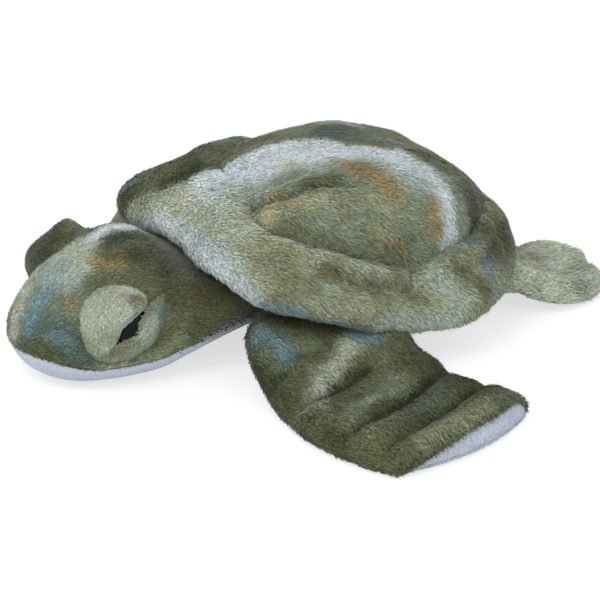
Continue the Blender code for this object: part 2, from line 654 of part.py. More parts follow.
def flipper(label, side, root, turn, length, chord, radius, puff, heights, row_shares, bow_share, sweep,
            columns):
    """A sewn flipper: printed top panel, white underside and filling. Its root is rounded about the hinge.
    Returns the three pieces and the hinge's place. The hinge runs along the root, level."""
    outward = Vector((math.cos(turn), -math.sin(turn), 0))
    rearward = Vector((math.sin(turn), math.cos(turn), 0))
    root_height, tip_height = heights
    edge = GAP / 2 + PLUSH
    start = -math.sqrt(radius**2 - edge**2)

    rows = []
    for share in ROOT_ROW_SHARES:
        u = start * (1 - share)
        fullness = math.sqrt(max(radius**2 - u**2, 0)) - edge
        rows.append((u, row_shares[0][1] * chord, u, row_shares[0][3] * chord, max(fullness, 0.0)))
    for index, (lead_u, lead_v, trail_u, trail_v, full) in enumerate(row_shares):
        fullness = radius - edge if index == 0 else puff * full
        rows.append((lead_u * length, lead_v * chord, trail_u * length, trail_v * chord, fullness))

    def place(u, v, z):
        """Bend the blade back about its trailing root corner, then set it beside the body."""
        pivot_u, pivot_v = radius, row_shares[0][3] * chord
        angle = sweep * smooth_share((u - pivot_u) / (SWEEP_RUN_SHARE * length))
        du, dv = u - pivot_u, v - pivot_v
        bent_u = pivot_u + du * math.cos(angle) + dv * math.sin(-angle)
        bent_v = pivot_v + du * math.sin(angle) + dv * math.cos(angle)
        spot = root + outward * bent_u + rearward * bent_v
        fall = smooth_share(u / (FALL_RUN_SHARE * length))
        middle = root_height + (tip_height - root_height) * fall
        return (side * spot.x, spot.y, middle + z)

    def surface(sign, count, inset):
        across, up = arch(count, FLIPPER_SQUARENESS)
        made = []
        chosen = rows if not inset else rows[2:]
        last = len(chosen) - 1
        for index, (lead_u, lead_v, trail_u, trail_v, full) in enumerate(chosen):
            lead, trail = np.array((lead_u, lead_v)), np.array((trail_u, trail_v))
            run = (trail - lead) / np.linalg.norm(trail - lead)
            if inset:
                lead, trail = lead + run * inset, trail - run * inset
                full = max(full - FILL_GAP, FILL_SHARE * full)
                if index == last:
                    full = END_FILL_SHARE * chosen[last - 1][4]
                    back = inset * np.array((run[1], -run[0]))
                    lead, trail = lead - back, trail - back
            spots = lead + (across[:, None] + 1) / 2 * (trail - lead)
            share = max((lead_u + trail_u) / 2 / length, 0)
            bow = bow_share * length * share**4 * (1 - across**2)
            spots = spots + bow[:, None] * np.array((run[1], -run[0]))
            if sign < 0:
                full = min(full, tip_height + FLAT_DEPTH - edge + (-FILL_GAP if inset else CAGE_SINK))
            lift = 0.0 if inset else edge
            made.append([place(u, v, sign * (lift + full * h)) for (u, v), h in zip(spots, up)])
        return np.array(made)

    middle = place(length / 3, 0, 0)
    top = panel(f"{label}_top_panel", surface(1, columns, 0), OLIVE_PLUSH, inside=middle)
    under = panel(f"{label}_underside_panel", surface(-1, UNDERSIDE_COLUMNS, 0), WHITE_PLUSH, inside=middle)
    upper, lower = (surface(sign, UNDERSIDE_COLUMNS, SEAM_ALLOWANCE) for sign in (1, -1))
    rings = [np.concatenate([u, b[-2:0:-1]]) for u, b in zip(upper, lower)]
    filling = stuffed(f"{label}_filling", rings, FILLING)
    return (top, under, filling), Vector((side * root.x, root.y, root_height))


def set_pivot(name, place, pieces):
    """Put an empty on a joint's axis and hang the moving pieces on it, where they already are."""
    pivot = bpy.data.objects.new(name, None)
    TURTLE.objects.link(pivot)
    pivot.location = place
    pivot.empty_display_size = PLUSH
    for piece in pieces:
        piece.parent = pivot
        piece.matrix_parent_inverse = Matrix.Translation(place).inverted()
    return pivot


def make_turtle():
    floor = floor_cutter()
    pocket = neck_pocket()
    body_form = make_body(floor, pocket)
    make_rim(body_form)
    neck = make_neck()
    crown, chin, filling, head_form = make_head(floor)
    head_pieces = [crown, chin, filling]
    for side, label in ((1, "left"), (-1, "right")):
        head_pieces += make_eye(side, label, crown, filling, head_form)
    nod_place = Vector((0, -BODY_FRONT - NECK_REACH, NECK_AXIS_HEIGHT))
    turn_place = Vector((0, -BODY_FRONT, NECK_AXIS_HEIGHT))
    nod_pivot = set_pivot("head_nod_pivot", nod_place, head_pieces)
    set_pivot("head_turn_pivot", turn_place, [neck, nod_pivot])
    for side, label, front_sweep, rear_sweep in (
        (1, "left", LEFT_FRONT_SWEEP, LEFT_REAR_SWEEP),
        (-1, "right", RIGHT_FRONT_SWEEP, RIGHT_REAR_SWEEP),
    ):
        root = root_place(FRONT_ROOT_TURN, FRONT_ROOT_SHIFT, FRONT_ROOT_HEIGHT, FRONT_ROOT_RADIUS)
        pieces, hinge = flipper(
            f"{label}_front_flipper", side, root, FRONT_ROOT_TURN, FRONT_FLIPPER_LENGTH,
            FRONT_FLIPPER_CHORD, FRONT_ROOT_RADIUS, FRONT_PUFF, (FRONT_ROOT_HEIGHT, FRONT_TIP_HEIGHT),
            FRONT_FLIPPER_SHARES, FRONT_END_BOW_SHARE, front_sweep, FRONT_COLUMNS,
        )
        cut(pieces[1], floor)
        set_pivot(f"{label}_front_flipper_pivot", hinge, pieces)
        root = root_place(REAR_ROOT_TURN, REAR_ROOT_SHIFT, REAR_ROOT_HEIGHT, REAR_ROOT_RADIUS)
        pieces, hinge = flipper(
            f"{label}_rear_flipper", side, root, REAR_ROOT_TURN, REAR_FLIPPER_LENGTH,
            REAR_FLIPPER_CHORD, REAR_ROOT_RADIUS, REAR_PUFF, (REAR_ROOT_HEIGHT, REAR_TIP_HEIGHT),
            REAR_FLIPPER_SHARES, REAR_END_BOW_SHARE, rear_sweep, REAR_COLUMNS,
        )
        cut(pieces[1], floor)
        set_pivot(f"{label}_rear_flipper_pivot", hinge, pieces)


make_turtle()
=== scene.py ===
import math

import bmesh
import bpy
import numpy as np
from mathutils import Matrix, Vector, kdtree


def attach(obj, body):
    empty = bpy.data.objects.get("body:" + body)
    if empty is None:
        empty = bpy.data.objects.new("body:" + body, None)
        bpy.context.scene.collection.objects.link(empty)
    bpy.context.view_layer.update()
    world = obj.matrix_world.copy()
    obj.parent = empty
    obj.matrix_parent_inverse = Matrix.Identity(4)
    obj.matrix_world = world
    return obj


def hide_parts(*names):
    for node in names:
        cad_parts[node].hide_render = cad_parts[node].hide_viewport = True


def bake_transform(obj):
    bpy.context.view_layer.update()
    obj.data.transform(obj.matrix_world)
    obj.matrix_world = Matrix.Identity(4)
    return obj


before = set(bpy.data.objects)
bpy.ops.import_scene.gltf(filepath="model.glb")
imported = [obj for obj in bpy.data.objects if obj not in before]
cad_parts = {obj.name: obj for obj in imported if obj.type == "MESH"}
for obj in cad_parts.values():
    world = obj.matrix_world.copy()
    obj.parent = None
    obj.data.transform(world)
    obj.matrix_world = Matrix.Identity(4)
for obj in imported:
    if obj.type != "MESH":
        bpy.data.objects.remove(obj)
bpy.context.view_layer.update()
print("frame loaded:", len(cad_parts), "nodes")

# Dyes of the print, and the plain colours, as linear values
dyes = {
    "darkOlive": (0.060, 0.072, 0.034),
    "brown": (0.112, 0.102, 0.046),
    "olive": (0.175, 0.190, 0.095),
    "teal": (0.130, 0.205, 0.175),
    "sage": (0.290, 0.350, 0.235),
    "moss": (0.400, 0.430, 0.270),
    "mist": (0.560, 0.670, 0.620),
    "blue": (0.235, 0.400, 0.425),
    "cream": (0.620, 0.670, 0.520),
    "sand": (0.660, 0.570, 0.330),
    "white": (0.860, 0.950, 0.970),
    "ochre": (0.420, 0.300, 0.105),
    "plainWhite": (0.710, 0.760, 0.880),
}


def smoothStep(value, low=0.0, high=1.0):
    # 3t^2 - 2t^3 of the value's share between low and high, held at 0 and 1 outside
    share = np.clip((np.asarray(value, float) - low) / (high - low), 0, 1)
    return share * share * (3 - 2 * share)


def bump(value, middle, width):
    # bell curve exp(-((value - middle) / width)^2)
    return np.exp(-(((value - middle) / width) ** 2))


def unit(vectors, tiny=0.0):
    return vectors / (np.linalg.norm(vectors, axis=-1)[..., None] + tiny)


def waves(points, size, seed, octaves=3):
    # smooth random field of about -1 to 1: sines along random directions, each octave half the size and strength
    source = np.random.default_rng(seed)
    total, strength = np.zeros(points.shape[:-1]), 1.0
    for octave in range(octaves):
        directions = unit(source.normal(size=(7, 3)))
        phases = source.uniform(0, 2 * math.pi, 7)
        stretch = source.uniform(0.7, 1.4, 7) * 2 * math.pi / (size * 0.5**octave)
        total += strength * np.sin(points @ (directions * stretch[:, None]).T + phases).sum(-1) / 3.2
        strength *= 0.5
    return total / 1.6


def threeWaves(points, size, seed, octaves=3):
    return np.stack([waves(points, size, seed + k, octaves) for k in range(3)], -1)


def circle(count):
    return np.linspace(0, 2 * math.pi, count, endpoint=False)


def keyed(value, keys):
    # smooth curve through (place, level) keys: a cubic between neighbours, (2t^3 - 3t^2 + 1) a + (3t^2 - 2t^3) b
    # and the slopes' share, each slope taken from the keys around it
    places = np.array([k[0] for k in keys], float)
    levels = np.array([k[1] for k in keys], float)
    slopes = np.gradient(levels, places)
    index = np.clip(np.searchsorted(places, value) - 1, 0, len(places) - 2)
    span = places[index + 1] - places[index]
    t = np.clip((value - places[index]) / span, 0, 1)
    a, b = levels[index], levels[index + 1]
    return (
        (2 * t**3 - 3 * t**2 + 1) * a + (t**3 - 2 * t**2 + t) * span * slopes[index]
        + (3 * t**2 - 2 * t**3) * b + (t**3 - t**2) * span * slopes[index + 1]
    )


def meshFrom(name, points, faces, finish):
    mesh = bpy.data.meshes.new(name)
    mesh.from_pydata(points.reshape(-1, 3).tolist(), [], faces)
    mesh.validate()
    piece = bpy.data.objects.new(name, mesh)
    bpy.context.scene.collection.objects.link(piece)
    mesh.materials.append(finish)
    mesh.polygons.foreach_set("use_smooth", np.ones(len(mesh.polygons), bool))
    return piece


def gridFaces(rows, columns, wrapRows=False, wrapColumns=False):
    # quads between neighbouring grid points, row by row
    r = np.arange(rows if wrapRows else rows - 1)[:, None]
    c = np.arange(columns if wrapColumns else columns - 1)[None]
    r2, c2 = (r + 1) % rows, (c + 1) % columns
    corners = r * columns + c, r * columns + c2, r2 * columns + c2, r2 * columns + c
    return np.stack(np.broadcast_arrays(*corners), -1).reshape(-1, 4)


def closedSurface(name, grid, finish, wrapRows=False):
    # grid is (rows, columns, 3) and closes on itself across its columns; open row ends are closed with a pole
    rows, columns = grid.shape[:2]
    faces = gridFaces(rows, columns, wrapRows, True)
    points = grid.reshape(-1, 3)
    lists = faces.tolist()
    if not wrapRows:
        points = np.concatenate([points, [grid[0].mean(0)], [grid[-1].mean(0)]])
        here = np.arange(columns)
        after = (here + 1) % columns
        first, last = rows * columns, rows * columns + 1
        lists += np.stack([after, here, np.full(columns, first)], -1).tolist()
        end = (rows - 1) * columns
        lists += np.stack([end + here, end + after, np.full(columns, last)], -1).tolist()
    return meshFrom(name, points, lists, finish)


def newMaterial(name, settings):
    finish = bpy.data.materials.new(name)
    finish.use_nodes = True
    nodes, links = finish.node_tree.nodes, finish.node_tree.links
    shader = nodes["Principled BSDF"]
    for label, value in settings.items():
        shader.inputs[label].default_value = value
    return finish, nodes, links, shader


def joined(piece):
    # merge the doubles that close a surface, then let Blender choose which way its faces look
    work = bmesh.new()
    work.from_mesh(piece.data)
    bmesh.ops.remove_doubles(work, verts=work.verts, dist=2e-5)
    bmesh.ops.dissolve_degenerate(work, edges=work.edges, dist=1e-6)
    bmesh.ops.recalc_face_normals(work, faces=work.faces)
    work.to_mesh(piece.data)
    work.free()
    piece.data.polygons.foreach_set("use_smooth", np.ones(len(piece.data.polygons), bool))
    return piece


def placesOf(mesh):
    places = np.empty(len(mesh.vertices) * 3)
    mesh.vertices.foreach_get("co", places)
    return places.reshape(-1, 3)


view = {
    "azimuth": 61, "elevation": 26, "distance": 1.35,  # round the turtle, in degrees and metres
    "target": (0, 0, 0.03), "seenAt": (348, 256), "pixelsPerMetre": 1480, "frame": 600,
}


def makeCamera():
    # a pinhole at the photograph's angle, slid sideways until the target shows at its pixel
    turn, rise = math.radians(view["azimuth"]), math.radians(view["elevation"])
    back = Vector((math.sin(turn) * math.cos(rise), -math.cos(turn) * math.cos(rise), math.sin(rise)))
    right = Vector((math.cos(turn), math.sin(turn), 0))
    up = back.cross(right)
    middle = view["frame"] / 2
    slideRight = (view["seenAt"][0] - middle) / view["pixelsPerMetre"]
    slideUp = (middle - view["seenAt"][1]) / view["pixelsPerMetre"]
    data = bpy.data.cameras.new("camera")
    data.sensor_width = 36
    data.lens = view["pixelsPerMetre"] * view["distance"] * data.sensor_width / view["frame"]
    data.clip_start, data.clip_end = 0.01, 60
    camera = bpy.data.objects.new("camera", data)
    bpy.context.scene.collection.objects.link(camera)
    camera.matrix_world = Matrix((right, up, back)).transposed().to_4x4()
    camera.location = Vector(view["target"]) + back * view["distance"] - right * slideRight - up * slideUp
    bpy.context.scene.camera = camera


room = {
    "floorSize": 9.0, "floorColour": (0.42, 0.42, 0.42), "floorGlow": 0.66, "bounceColour": (0.80, 0.80, 0.80),
    "worldColour": (0.93, 0.97, 1.0), "worldStrength": 0.78,
    "lamps": [  # place, size, watts, colour
        ((0.30, -0.95, 1.35), 1.0, 7.5, (1.0, 0.99, 0.96)),
        ((-1.10, 0.20, 1.30), 1.2, 5.0, (0.96, 0.98, 1.0)),
        ((1.20, 0.70, 0.90), 1.1, 3.0, (1.0, 1.0, 1.0)),
    ],
}


def cameraSees(nodes, links):
    # 1 where the camera looks straight, by reflection or through glass, 0 for every other ray
    path = nodes.new("ShaderNodeLightPath")
    seen = path.outputs["Is Camera Ray"]
    for other in ("Is Glossy Ray", "Is Transmission Ray"):
        either = nodes.new("ShaderNodeMath")
        either.operation = "MAXIMUM"
        links.new(seen, either.inputs[0])
        links.new(path.outputs[other], either.inputs[1])
        seen = either.outputs[0]
    return seen


def makeRoom():
    world = bpy.data.worlds.new("softRoom")
    bpy.context.scene.world = world
    world.use_nodes = True
    nodes, links = world.node_tree.nodes, world.node_tree.links
    nodes.clear()
    light, backdrop = nodes.new("ShaderNodeBackground"), nodes.new("ShaderNodeBackground")
    light.inputs["Color"].default_value = (*room["worldColour"], 1)
    light.inputs["Strength"].default_value = room["worldStrength"]
    backdrop.inputs["Color"].default_value = (1, 1, 1, 1)
    mix, out = nodes.new("ShaderNodeMixShader"), nodes.new("ShaderNodeOutputWorld")
    links.new(cameraSees(nodes, links), mix.inputs[0])
    links.new(light.outputs[0], mix.inputs[1])
    links.new(backdrop.outputs[0], mix.inputs[2])
    links.new(mix.outputs[0], out.inputs[0])

    finish, nodes, links, _ = newMaterial("paleFloor", {})
    nodes.clear()
    shaded, glow, added = (nodes.new("ShaderNodeBsdfDiffuse"), nodes.new("ShaderNodeEmission"),
                           nodes.new("ShaderNodeAddShader"))
    shaded.inputs["Color"].default_value = (*room["floorColour"], 1)
    glow.inputs["Strength"].default_value = room["floorGlow"]
    bounce, mix, out = (nodes.new("ShaderNodeBsdfDiffuse"), nodes.new("ShaderNodeMixShader"),
                        nodes.new("ShaderNodeOutputMaterial"))
    bounce.inputs["Color"].default_value = (*room["bounceColour"], 1)
    links.new(shaded.outputs[0], added.inputs[0])
    links.new(glow.outputs[0], added.inputs[1])
    links.new(cameraSees(nodes, links), mix.inputs[0])
    links.new(bounce.outputs[0], mix.inputs[1])
    links.new(added.outputs[0], mix.inputs[2])
    links.new(mix.outputs[0], out.inputs[0])
    half = room["floorSize"] / 2
    corners = np.array([(-half, -half, 0), (half, -half, 0), (half, half, 0), (-half, half, 0)])
    floor = meshFrom("floor", corners, [[0, 1, 2, 3]], finish)

    for number, (place, size, watts, colour) in enumerate(room["lamps"]):
        data = bpy.data.lights.new(f"softLamp{number}", "AREA")
        data.shape, data.size, data.energy, data.color = "DISK", size, watts, colour
        lamp = bpy.data.objects.new(data.name, data)
        bpy.context.scene.collection.objects.link(lamp)
        lamp.location = place
        lamp.rotation_euler = (Vector((0, 0, 0.05)) - Vector(place)).to_track_quat("-Z", "Y").to_euler()
    bpy.context.scene.view_settings.view_transform = "Standard"


makeCamera()
makeRoom()
print("camera, floor and lamps made")


# Plush: one material for the print and one for the plain white
plush = {
    "roughness": 0.95, "specular": 0.15, "sheen": 0.25, "sheenRoughness": 0.45, "fibreScale": 900.0,
    "fibreDepth": 0.0006, "fibreStrength": 0.5, "grainFrom": (0.3, 0.7), "grainTo": (0.82, 1.12),
    # painted shade at the roots and painted light at the tips, as factors on the colour
    "printPaintedShadeAndLight": (0.55, 1.14), "whitePaintedShadeAndLight": (0.80, 1.04),  # of the roots and of the tips
}


def fibreGroup():
    # colour times a fine fibre grain and a root to tip factor, painted shade at the roots and painted light at the
    # tips; also gives the grain as a height
    group = bpy.data.node_groups.new("plushFibre", "ShaderNodeTree")
    for name, kind in (("Dye", "NodeSocketColor"), ("Tone", "NodeSocketFloat"), ("Place", "NodeSocketVector"),
                       ("Scale", "NodeSocketFloat"), ("Root Painted Shade", "NodeSocketFloat"),
                       ("Tip Painted Light", "NodeSocketFloat")):
        group.interface.new_socket(name=name, in_out="INPUT", socket_type=kind)
    for name, kind in (("Color", "NodeSocketColor"), ("Height", "NodeSocketFloat")):
        group.interface.new_socket(name=name, in_out="OUTPUT", socket_type=kind)
    nodes, links = group.nodes, group.links
    source, out = nodes.new("NodeGroupInput"), nodes.new("NodeGroupOutput")
    grain = nodes.new("ShaderNodeTexNoise")
    grain.inputs["Detail"].default_value = 3
    links.new(source.outputs["Place"], grain.inputs["Vector"])
    links.new(source.outputs["Scale"], grain.inputs["Scale"])
    # painted shade and light: the root to tip share runs from the roots' painted shade to the tips' painted light
    shade = nodes.new("ShaderNodeMapRange")
    links.new(source.outputs["Tone"], shade.inputs["Value"])
    links.new(source.outputs["Root Painted Shade"], shade.inputs["To Min"])
    links.new(source.outputs["Tip Painted Light"], shade.inputs["To Max"])
    speck = nodes.new("ShaderNodeMapRange")
    speck.inputs["From Min"].default_value, speck.inputs["From Max"].default_value = plush["grainFrom"]
    speck.inputs["To Min"].default_value, speck.inputs["To Max"].default_value = plush["grainTo"]
    links.new(grain.outputs["Fac"], speck.inputs["Value"])
    both = nodes.new("ShaderNodeMath")
    both.operation = "MULTIPLY"
    links.new(shade.outputs[0], both.inputs[0])
    links.new(speck.outputs[0], both.inputs[1])
    scaled = nodes.new("ShaderNodeVectorMath")
    scaled.operation = "SCALE"
    links.new(source.outputs["Dye"], scaled.inputs[0])
    links.new(both.outputs[0], scaled.inputs["Scale"])
    links.new(scaled.outputs[0], out.inputs["Color"])
    links.new(grain.outputs["Fac"], out.inputs["Height"])
    return group


fibre = fibreGroup()


def plushMaterial(name, paintedShadeAndLight):
    finish, nodes, links, shader = newMaterial(name, {
        "Roughness": plush["roughness"], "Specular IOR Level": plush["specular"], "Sheen Weight": plush["sheen"],
        "Sheen Roughness": plush["sheenRoughness"],
    })
    dye, tone, place = (nodes.new("ShaderNodeAttribute") for _ in range(3))
    dye.attribute_name, tone.attribute_name, place.attribute_name = "dyeColour", "paintedLightShare", "dyePlace"
    mixed = nodes.new("ShaderNodeGroup")
    mixed.node_tree = fibre
    mixed.inputs["Scale"].default_value = plush["fibreScale"]
    # the factors of painted shade at the roots and of painted light at the tips
    mixed.inputs["Root Painted Shade"].default_value, mixed.inputs["Tip Painted Light"].default_value = paintedShadeAndLight
    links.new(dye.outputs["Color"], mixed.inputs["Dye"])
    links.new(tone.outputs["Fac"], mixed.inputs["Tone"])
    links.new(place.outputs["Vector"], mixed.inputs["Place"])
    links.new(mixed.outputs["Color"], shader.inputs["Base Color"])
    relief = nodes.new("ShaderNodeBump")
    relief.inputs["Strength"].default_value = plush["fibreStrength"]
    relief.inputs["Distance"].default_value = plush["fibreDepth"]
    links.new(mixed.outputs["Height"], relief.inputs["Height"])
    links.new(relief.outputs["Normal"], shader.inputs["Normal"])
    return finish


printed = plushMaterial("printedPlush", plush["printPaintedShadeAndLight"])
plainWhite = plushMaterial("whitePlush", plush["whitePaintedShadeAndLight"])


def lineAway(points, line):
    # shortest distance from each point to a line of points, in the plan or in space
    line = np.asarray(line, float)
    start, step = line[:-1], np.diff(line, axis=0)
    offset = points[..., None, :] - start
    share = np.clip((offset * step).sum(-1) / ((step * step).sum(-1) + 1e-15), 0, 1)
    return np.linalg.norm(offset - share[..., None] * step, axis=-1).min(-1)


paleClouds = (("mist", 0.50), ("olive", 0.55), ("ochre", 0.36))
darkClouds = (("sage", 0.35), ("darkOlive", 0.60), ("brown", 0.50))


printing = {
    "straySize": 0.040, "fineStray": 0.0016, "fineStraySize": 0.009, "cloudSize": 0.034, "cloudFull": 1.1,
    "softEdge": (0.25, 1.50), "blotch": 0.10, "blotchSizes": (0.026, 0.007),
}


def dyed(points, base, strokes, seed, stray=0.0045, clouds=paleClouds):
    # the print: a base dye with random clouds, then strokes over it with a soft edge that strays in waves, a few of
    # them painted shade and painted highlight; a stroke is (dye, the line of its middle, its half width, how
    # strong), its places and width in millimetres
    strayed = points + stray * threeWaves(points, printing["straySize"], seed)
    strayed += printing["fineStray"] * threeWaves(points, printing["fineStraySize"], seed + 7, 2)
    colour = np.tile(np.array(dyes[base], float), (len(points), 1))
    for number, (dye, strength) in enumerate(clouds):
        cloud = waves(points, printing["cloudSize"], seed + 11 + number)
        share = (strength * smoothStep(cloud, 0.0, printing["cloudFull"]))[:, None]
        colour = colour * (1 - share) + np.array(dyes[dye]) * share
    for dye, line, half, strength in strokes:
        line = np.array(line if len(line) > 1 else line * 2) / 1000
        away = lineAway(strayed, line) / (half / 1000)
        share = (strength * (1 - smoothStep(away, *printing["softEdge"])))[:, None]
        colour = colour * (1 - share) + np.array(dyes[dye]) * share
    wide, fine = printing["blotchSizes"]
    blotch = (printing["blotch"] * waves(points, wide, seed + 5)
              + printing["blotch"] * waves(points, fine, seed + 6, 2))
    return np.clip(colour * (1 + blotch[:, None]), 0, 1)


def setAttribute(mesh, name, kind, values):
    layer = mesh.attributes.new(name, kind, "POINT")
    if kind == "FLOAT_COLOR":
        opaque = np.column_stack([values, np.ones(len(values))])
        layer.data.foreach_set("color", opaque.astype(np.float32).ravel())
    elif kind == "FLOAT_VECTOR":
        layer.data.foreach_set("vector", values.astype(np.float32).ravel())
    else:
        layer.data.foreach_set("value", values.astype(np.float32))


# Pile: tufts that stand on a skin and lean over along its nap
pile = {
    "printed": (0.00084, 0.0042, 0.00074), "white": (0.00105, 0.0016, 0.00055),  # spacing, length, width
    "lean": (66, 86), "leanSpread": 9,  # degrees from upright, of the foot and of the tip
    "stray": 0.42, "swirlSize": 0.022, "swirlShare": 0.7, "looseShare": 0.5,
    "lengthSpread": (0.7, 1.25), "widthSpread": (0.7, 1.3), "bend": (0.45, 0.55), "rootDepth": 0.4,
    # shares from painted shade at 0 to painted light at 1: a leaf's buried foot and the skin between the tufts lie
    # in painted shade, its tip in painted light
    "shadeSpread": (0.62, 1.30), "dyeStray": 0.0012, "leafPaintedLightShares": (0.0, 0.6, 0.6, 1.0), "skinPaintedLightShare": 0.2,
    "softLay": 0.25, "softLoose": 0.20, "quickSpacing": 1.8, "quickWidth": 1.5,
}


def growPile(name, skin, dye, nap, finish, spacing, length, width, seed, cover=None):
    # roots: random points on the skin's triangles by area; each tuft is a leaf of four points and two faces,
    # leaning along the nap and bent further over at its knee; its colour is the dye at its root
    mesh = skin.data
    mesh.calc_loop_triangles()
    corners = np.empty(len(mesh.loop_triangles) * 3, int)
    mesh.loop_triangles.foreach_get("vertices", corners)
    corners = corners.reshape(-1, 3)
    places = placesOf(mesh)
    normals = np.empty(len(mesh.vertices) * 3)
    mesh.vertex_normals.foreach_get("vector", normals)
    normals = normals.reshape(-1, 3)
    a, b, c = (places[corners[:, k]] for k in range(3))
    area = np.linalg.norm(np.cross(b - a, c - a), axis=1) / 2
    source = np.random.default_rng(seed)
    if cover is not None:
        area = area * cover((a + b + c) / 3)
    count = int(area.sum() / spacing**2)
    drawn = (np.arange(count) + source.random(count)) / count * area.sum()
    chosen = np.clip(np.searchsorted(np.cumsum(area), drawn), 0, len(corners) - 1)
    u, v = source.random(count), source.random(count)
    folded = u + v > 1
    u[folded], v[folded] = 1 - u[folded], 1 - v[folded]
    weights = np.stack([1 - u - v, u, v], -1)[..., None]
    root = (places[corners[chosen]] * weights).sum(1)
    normal = unit((normals[corners[chosen]] * weights).sum(1), 1e-12)

    swirl = threeWaves(root, pile["swirlSize"], seed + 11, 2)
    loose = pile["looseShare"] * source.normal(size=root.shape)
    lay = nap(root) + pile["stray"] * (pile["swirlShare"] * swirl + loose)
    lay = unit(lay - (lay * normal).sum(1)[:, None] * normal, 1e-12)
    side = np.cross(normal, lay)
    long = length * source.uniform(*pile["lengthSpread"], count)[:, None]
    wide = width * source.uniform(*pile["widthSpread"], count)[:, None]
    foot, tip = (np.radians(source.normal(angle, pile["leanSpread"], count))[:, None] for angle in pile["lean"])
    first = root + (normal * np.cos(foot) + lay * np.sin(foot)) * long * pile["bend"][0]
    last = first + (normal * np.cos(tip) + lay * np.sin(tip)) * long * pile["bend"][1]
    base = root - normal * width * pile["rootDepth"]
    leaf = np.stack([base, first - side * wide / 2, first + side * wide / 2, last], 1)
    start = (np.arange(count) * 4)[:, None, None]
    faces = (start + np.array([[0, 1, 2], [1, 3, 2]])[None]).reshape(-1, 3)
    made = bpy.data.meshes.new(name)
    made.vertices.add(count * 4)
    made.vertices.foreach_set("co", leaf.astype(np.float32).ravel())
    made.loops.add(count * 6)
    made.polygons.add(count * 2)
    made.loops.foreach_set("vertex_index", faces.astype(np.int32).ravel())
    made.polygons.foreach_set("loop_start", np.arange(0, count * 6, 3, dtype=np.int32))
    made.polygons.foreach_set("use_smooth", np.ones(count * 2, bool))
    made.update(calc_edges=True)
    made.materials.append(finish)
    shade = source.uniform(*pile["shadeSpread"], count)[:, None]
    colour = np.clip(dye(root + source.normal(size=root.shape) * pile["dyeStray"]) * shade, 0, 1)
    setAttribute(made, "dyeColour", "FLOAT_COLOR", np.repeat(colour, 4, 0))
    # painted shade at each leaf's foot rising to painted light at its tip
    setAttribute(made, "paintedLightShare", "FLOAT", np.tile(pile["leafPaintedLightShares"], count))
    setAttribute(made, "dyePlace", "FLOAT_VECTOR", np.repeat(root, 4, 0))
    # soft light: a leaf takes mostly the skin's direction, with a little of its own
    soft = unit(normal + pile["softLay"] * lay + pile["softLoose"] * source.normal(size=root.shape))
    made.normals_split_custom_set_from_vertices(np.repeat(soft, 4, 0))
    # the bake's map: each tuft has its own small square of the image
    cells = math.ceil(math.sqrt(count))
    cell = np.stack([np.arange(count) % cells, np.arange(count) // cells], -1)[:, None]
    inside = np.array([(0.5, 0.1), (0.1, 0.5), (0.9, 0.5), (0.5, 0.9)])
    spots = ((cell + inside[None]) / cells).reshape(-1, 2)
    layer = made.uv_layers.new(name="OFBake")
    layer.uv.foreach_set("vector", spots[faces.ravel()].astype(np.float32).ravel())
    piece = bpy.data.objects.new(name, made)
    bpy.context.scene.collection.objects.link(piece)
    return piece


def paint(skin, dye):
    places = placesOf(skin.data)
    setAttribute(skin.data, "dyeColour", "FLOAT_COLOR", dye(places))
    # the skin between the tufts is held low: painted shade
    setAttribute(skin.data, "paintedLightShare", "FLOAT", np.full(len(places), pile["skinPaintedLightShare"]))
    setAttribute(skin.data, "dyePlace", "FLOAT_VECTOR", places)


def dress(skin, hold, dye, nap, seed, replaced, cover=None, size=1.0, white=False):
    # paint a finished skin, grow its pile, and hand both to hold, which attaches them to a body or bakes in their
    # transform
    paint(skin, dye)
    spacing, length, width = pile["white" if white else "printed"]
    finish = skin.data.materials[0]
    tufts = growPile(skin.name + "Pile", skin, dye, nap, finish, spacing, length * size, width, seed, cover)
    for piece in (skin, tufts):
        hold(piece)
    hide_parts(*replaced)
    print(skin.name, len(skin.data.polygons), "faces,", len(tufts.data.polygons) // 2, "tufts")


def clearOf(points, gap):
    # cover for pile that only grows where it is further than gap from other cloth, given as points
    tree = kdtree.KDTree(len(points))
    for number, point in enumerate(points):
        tree.insert(point, number)
    tree.balance()
    return lambda places: np.array([tree.find(place)[2] > gap for place in places], float)


def towards(*direction):
    lay = np.array(direction, float)
    lay /= np.linalg.norm(lay)
    return lambda points: np.broadcast_to(lay, points.shape)


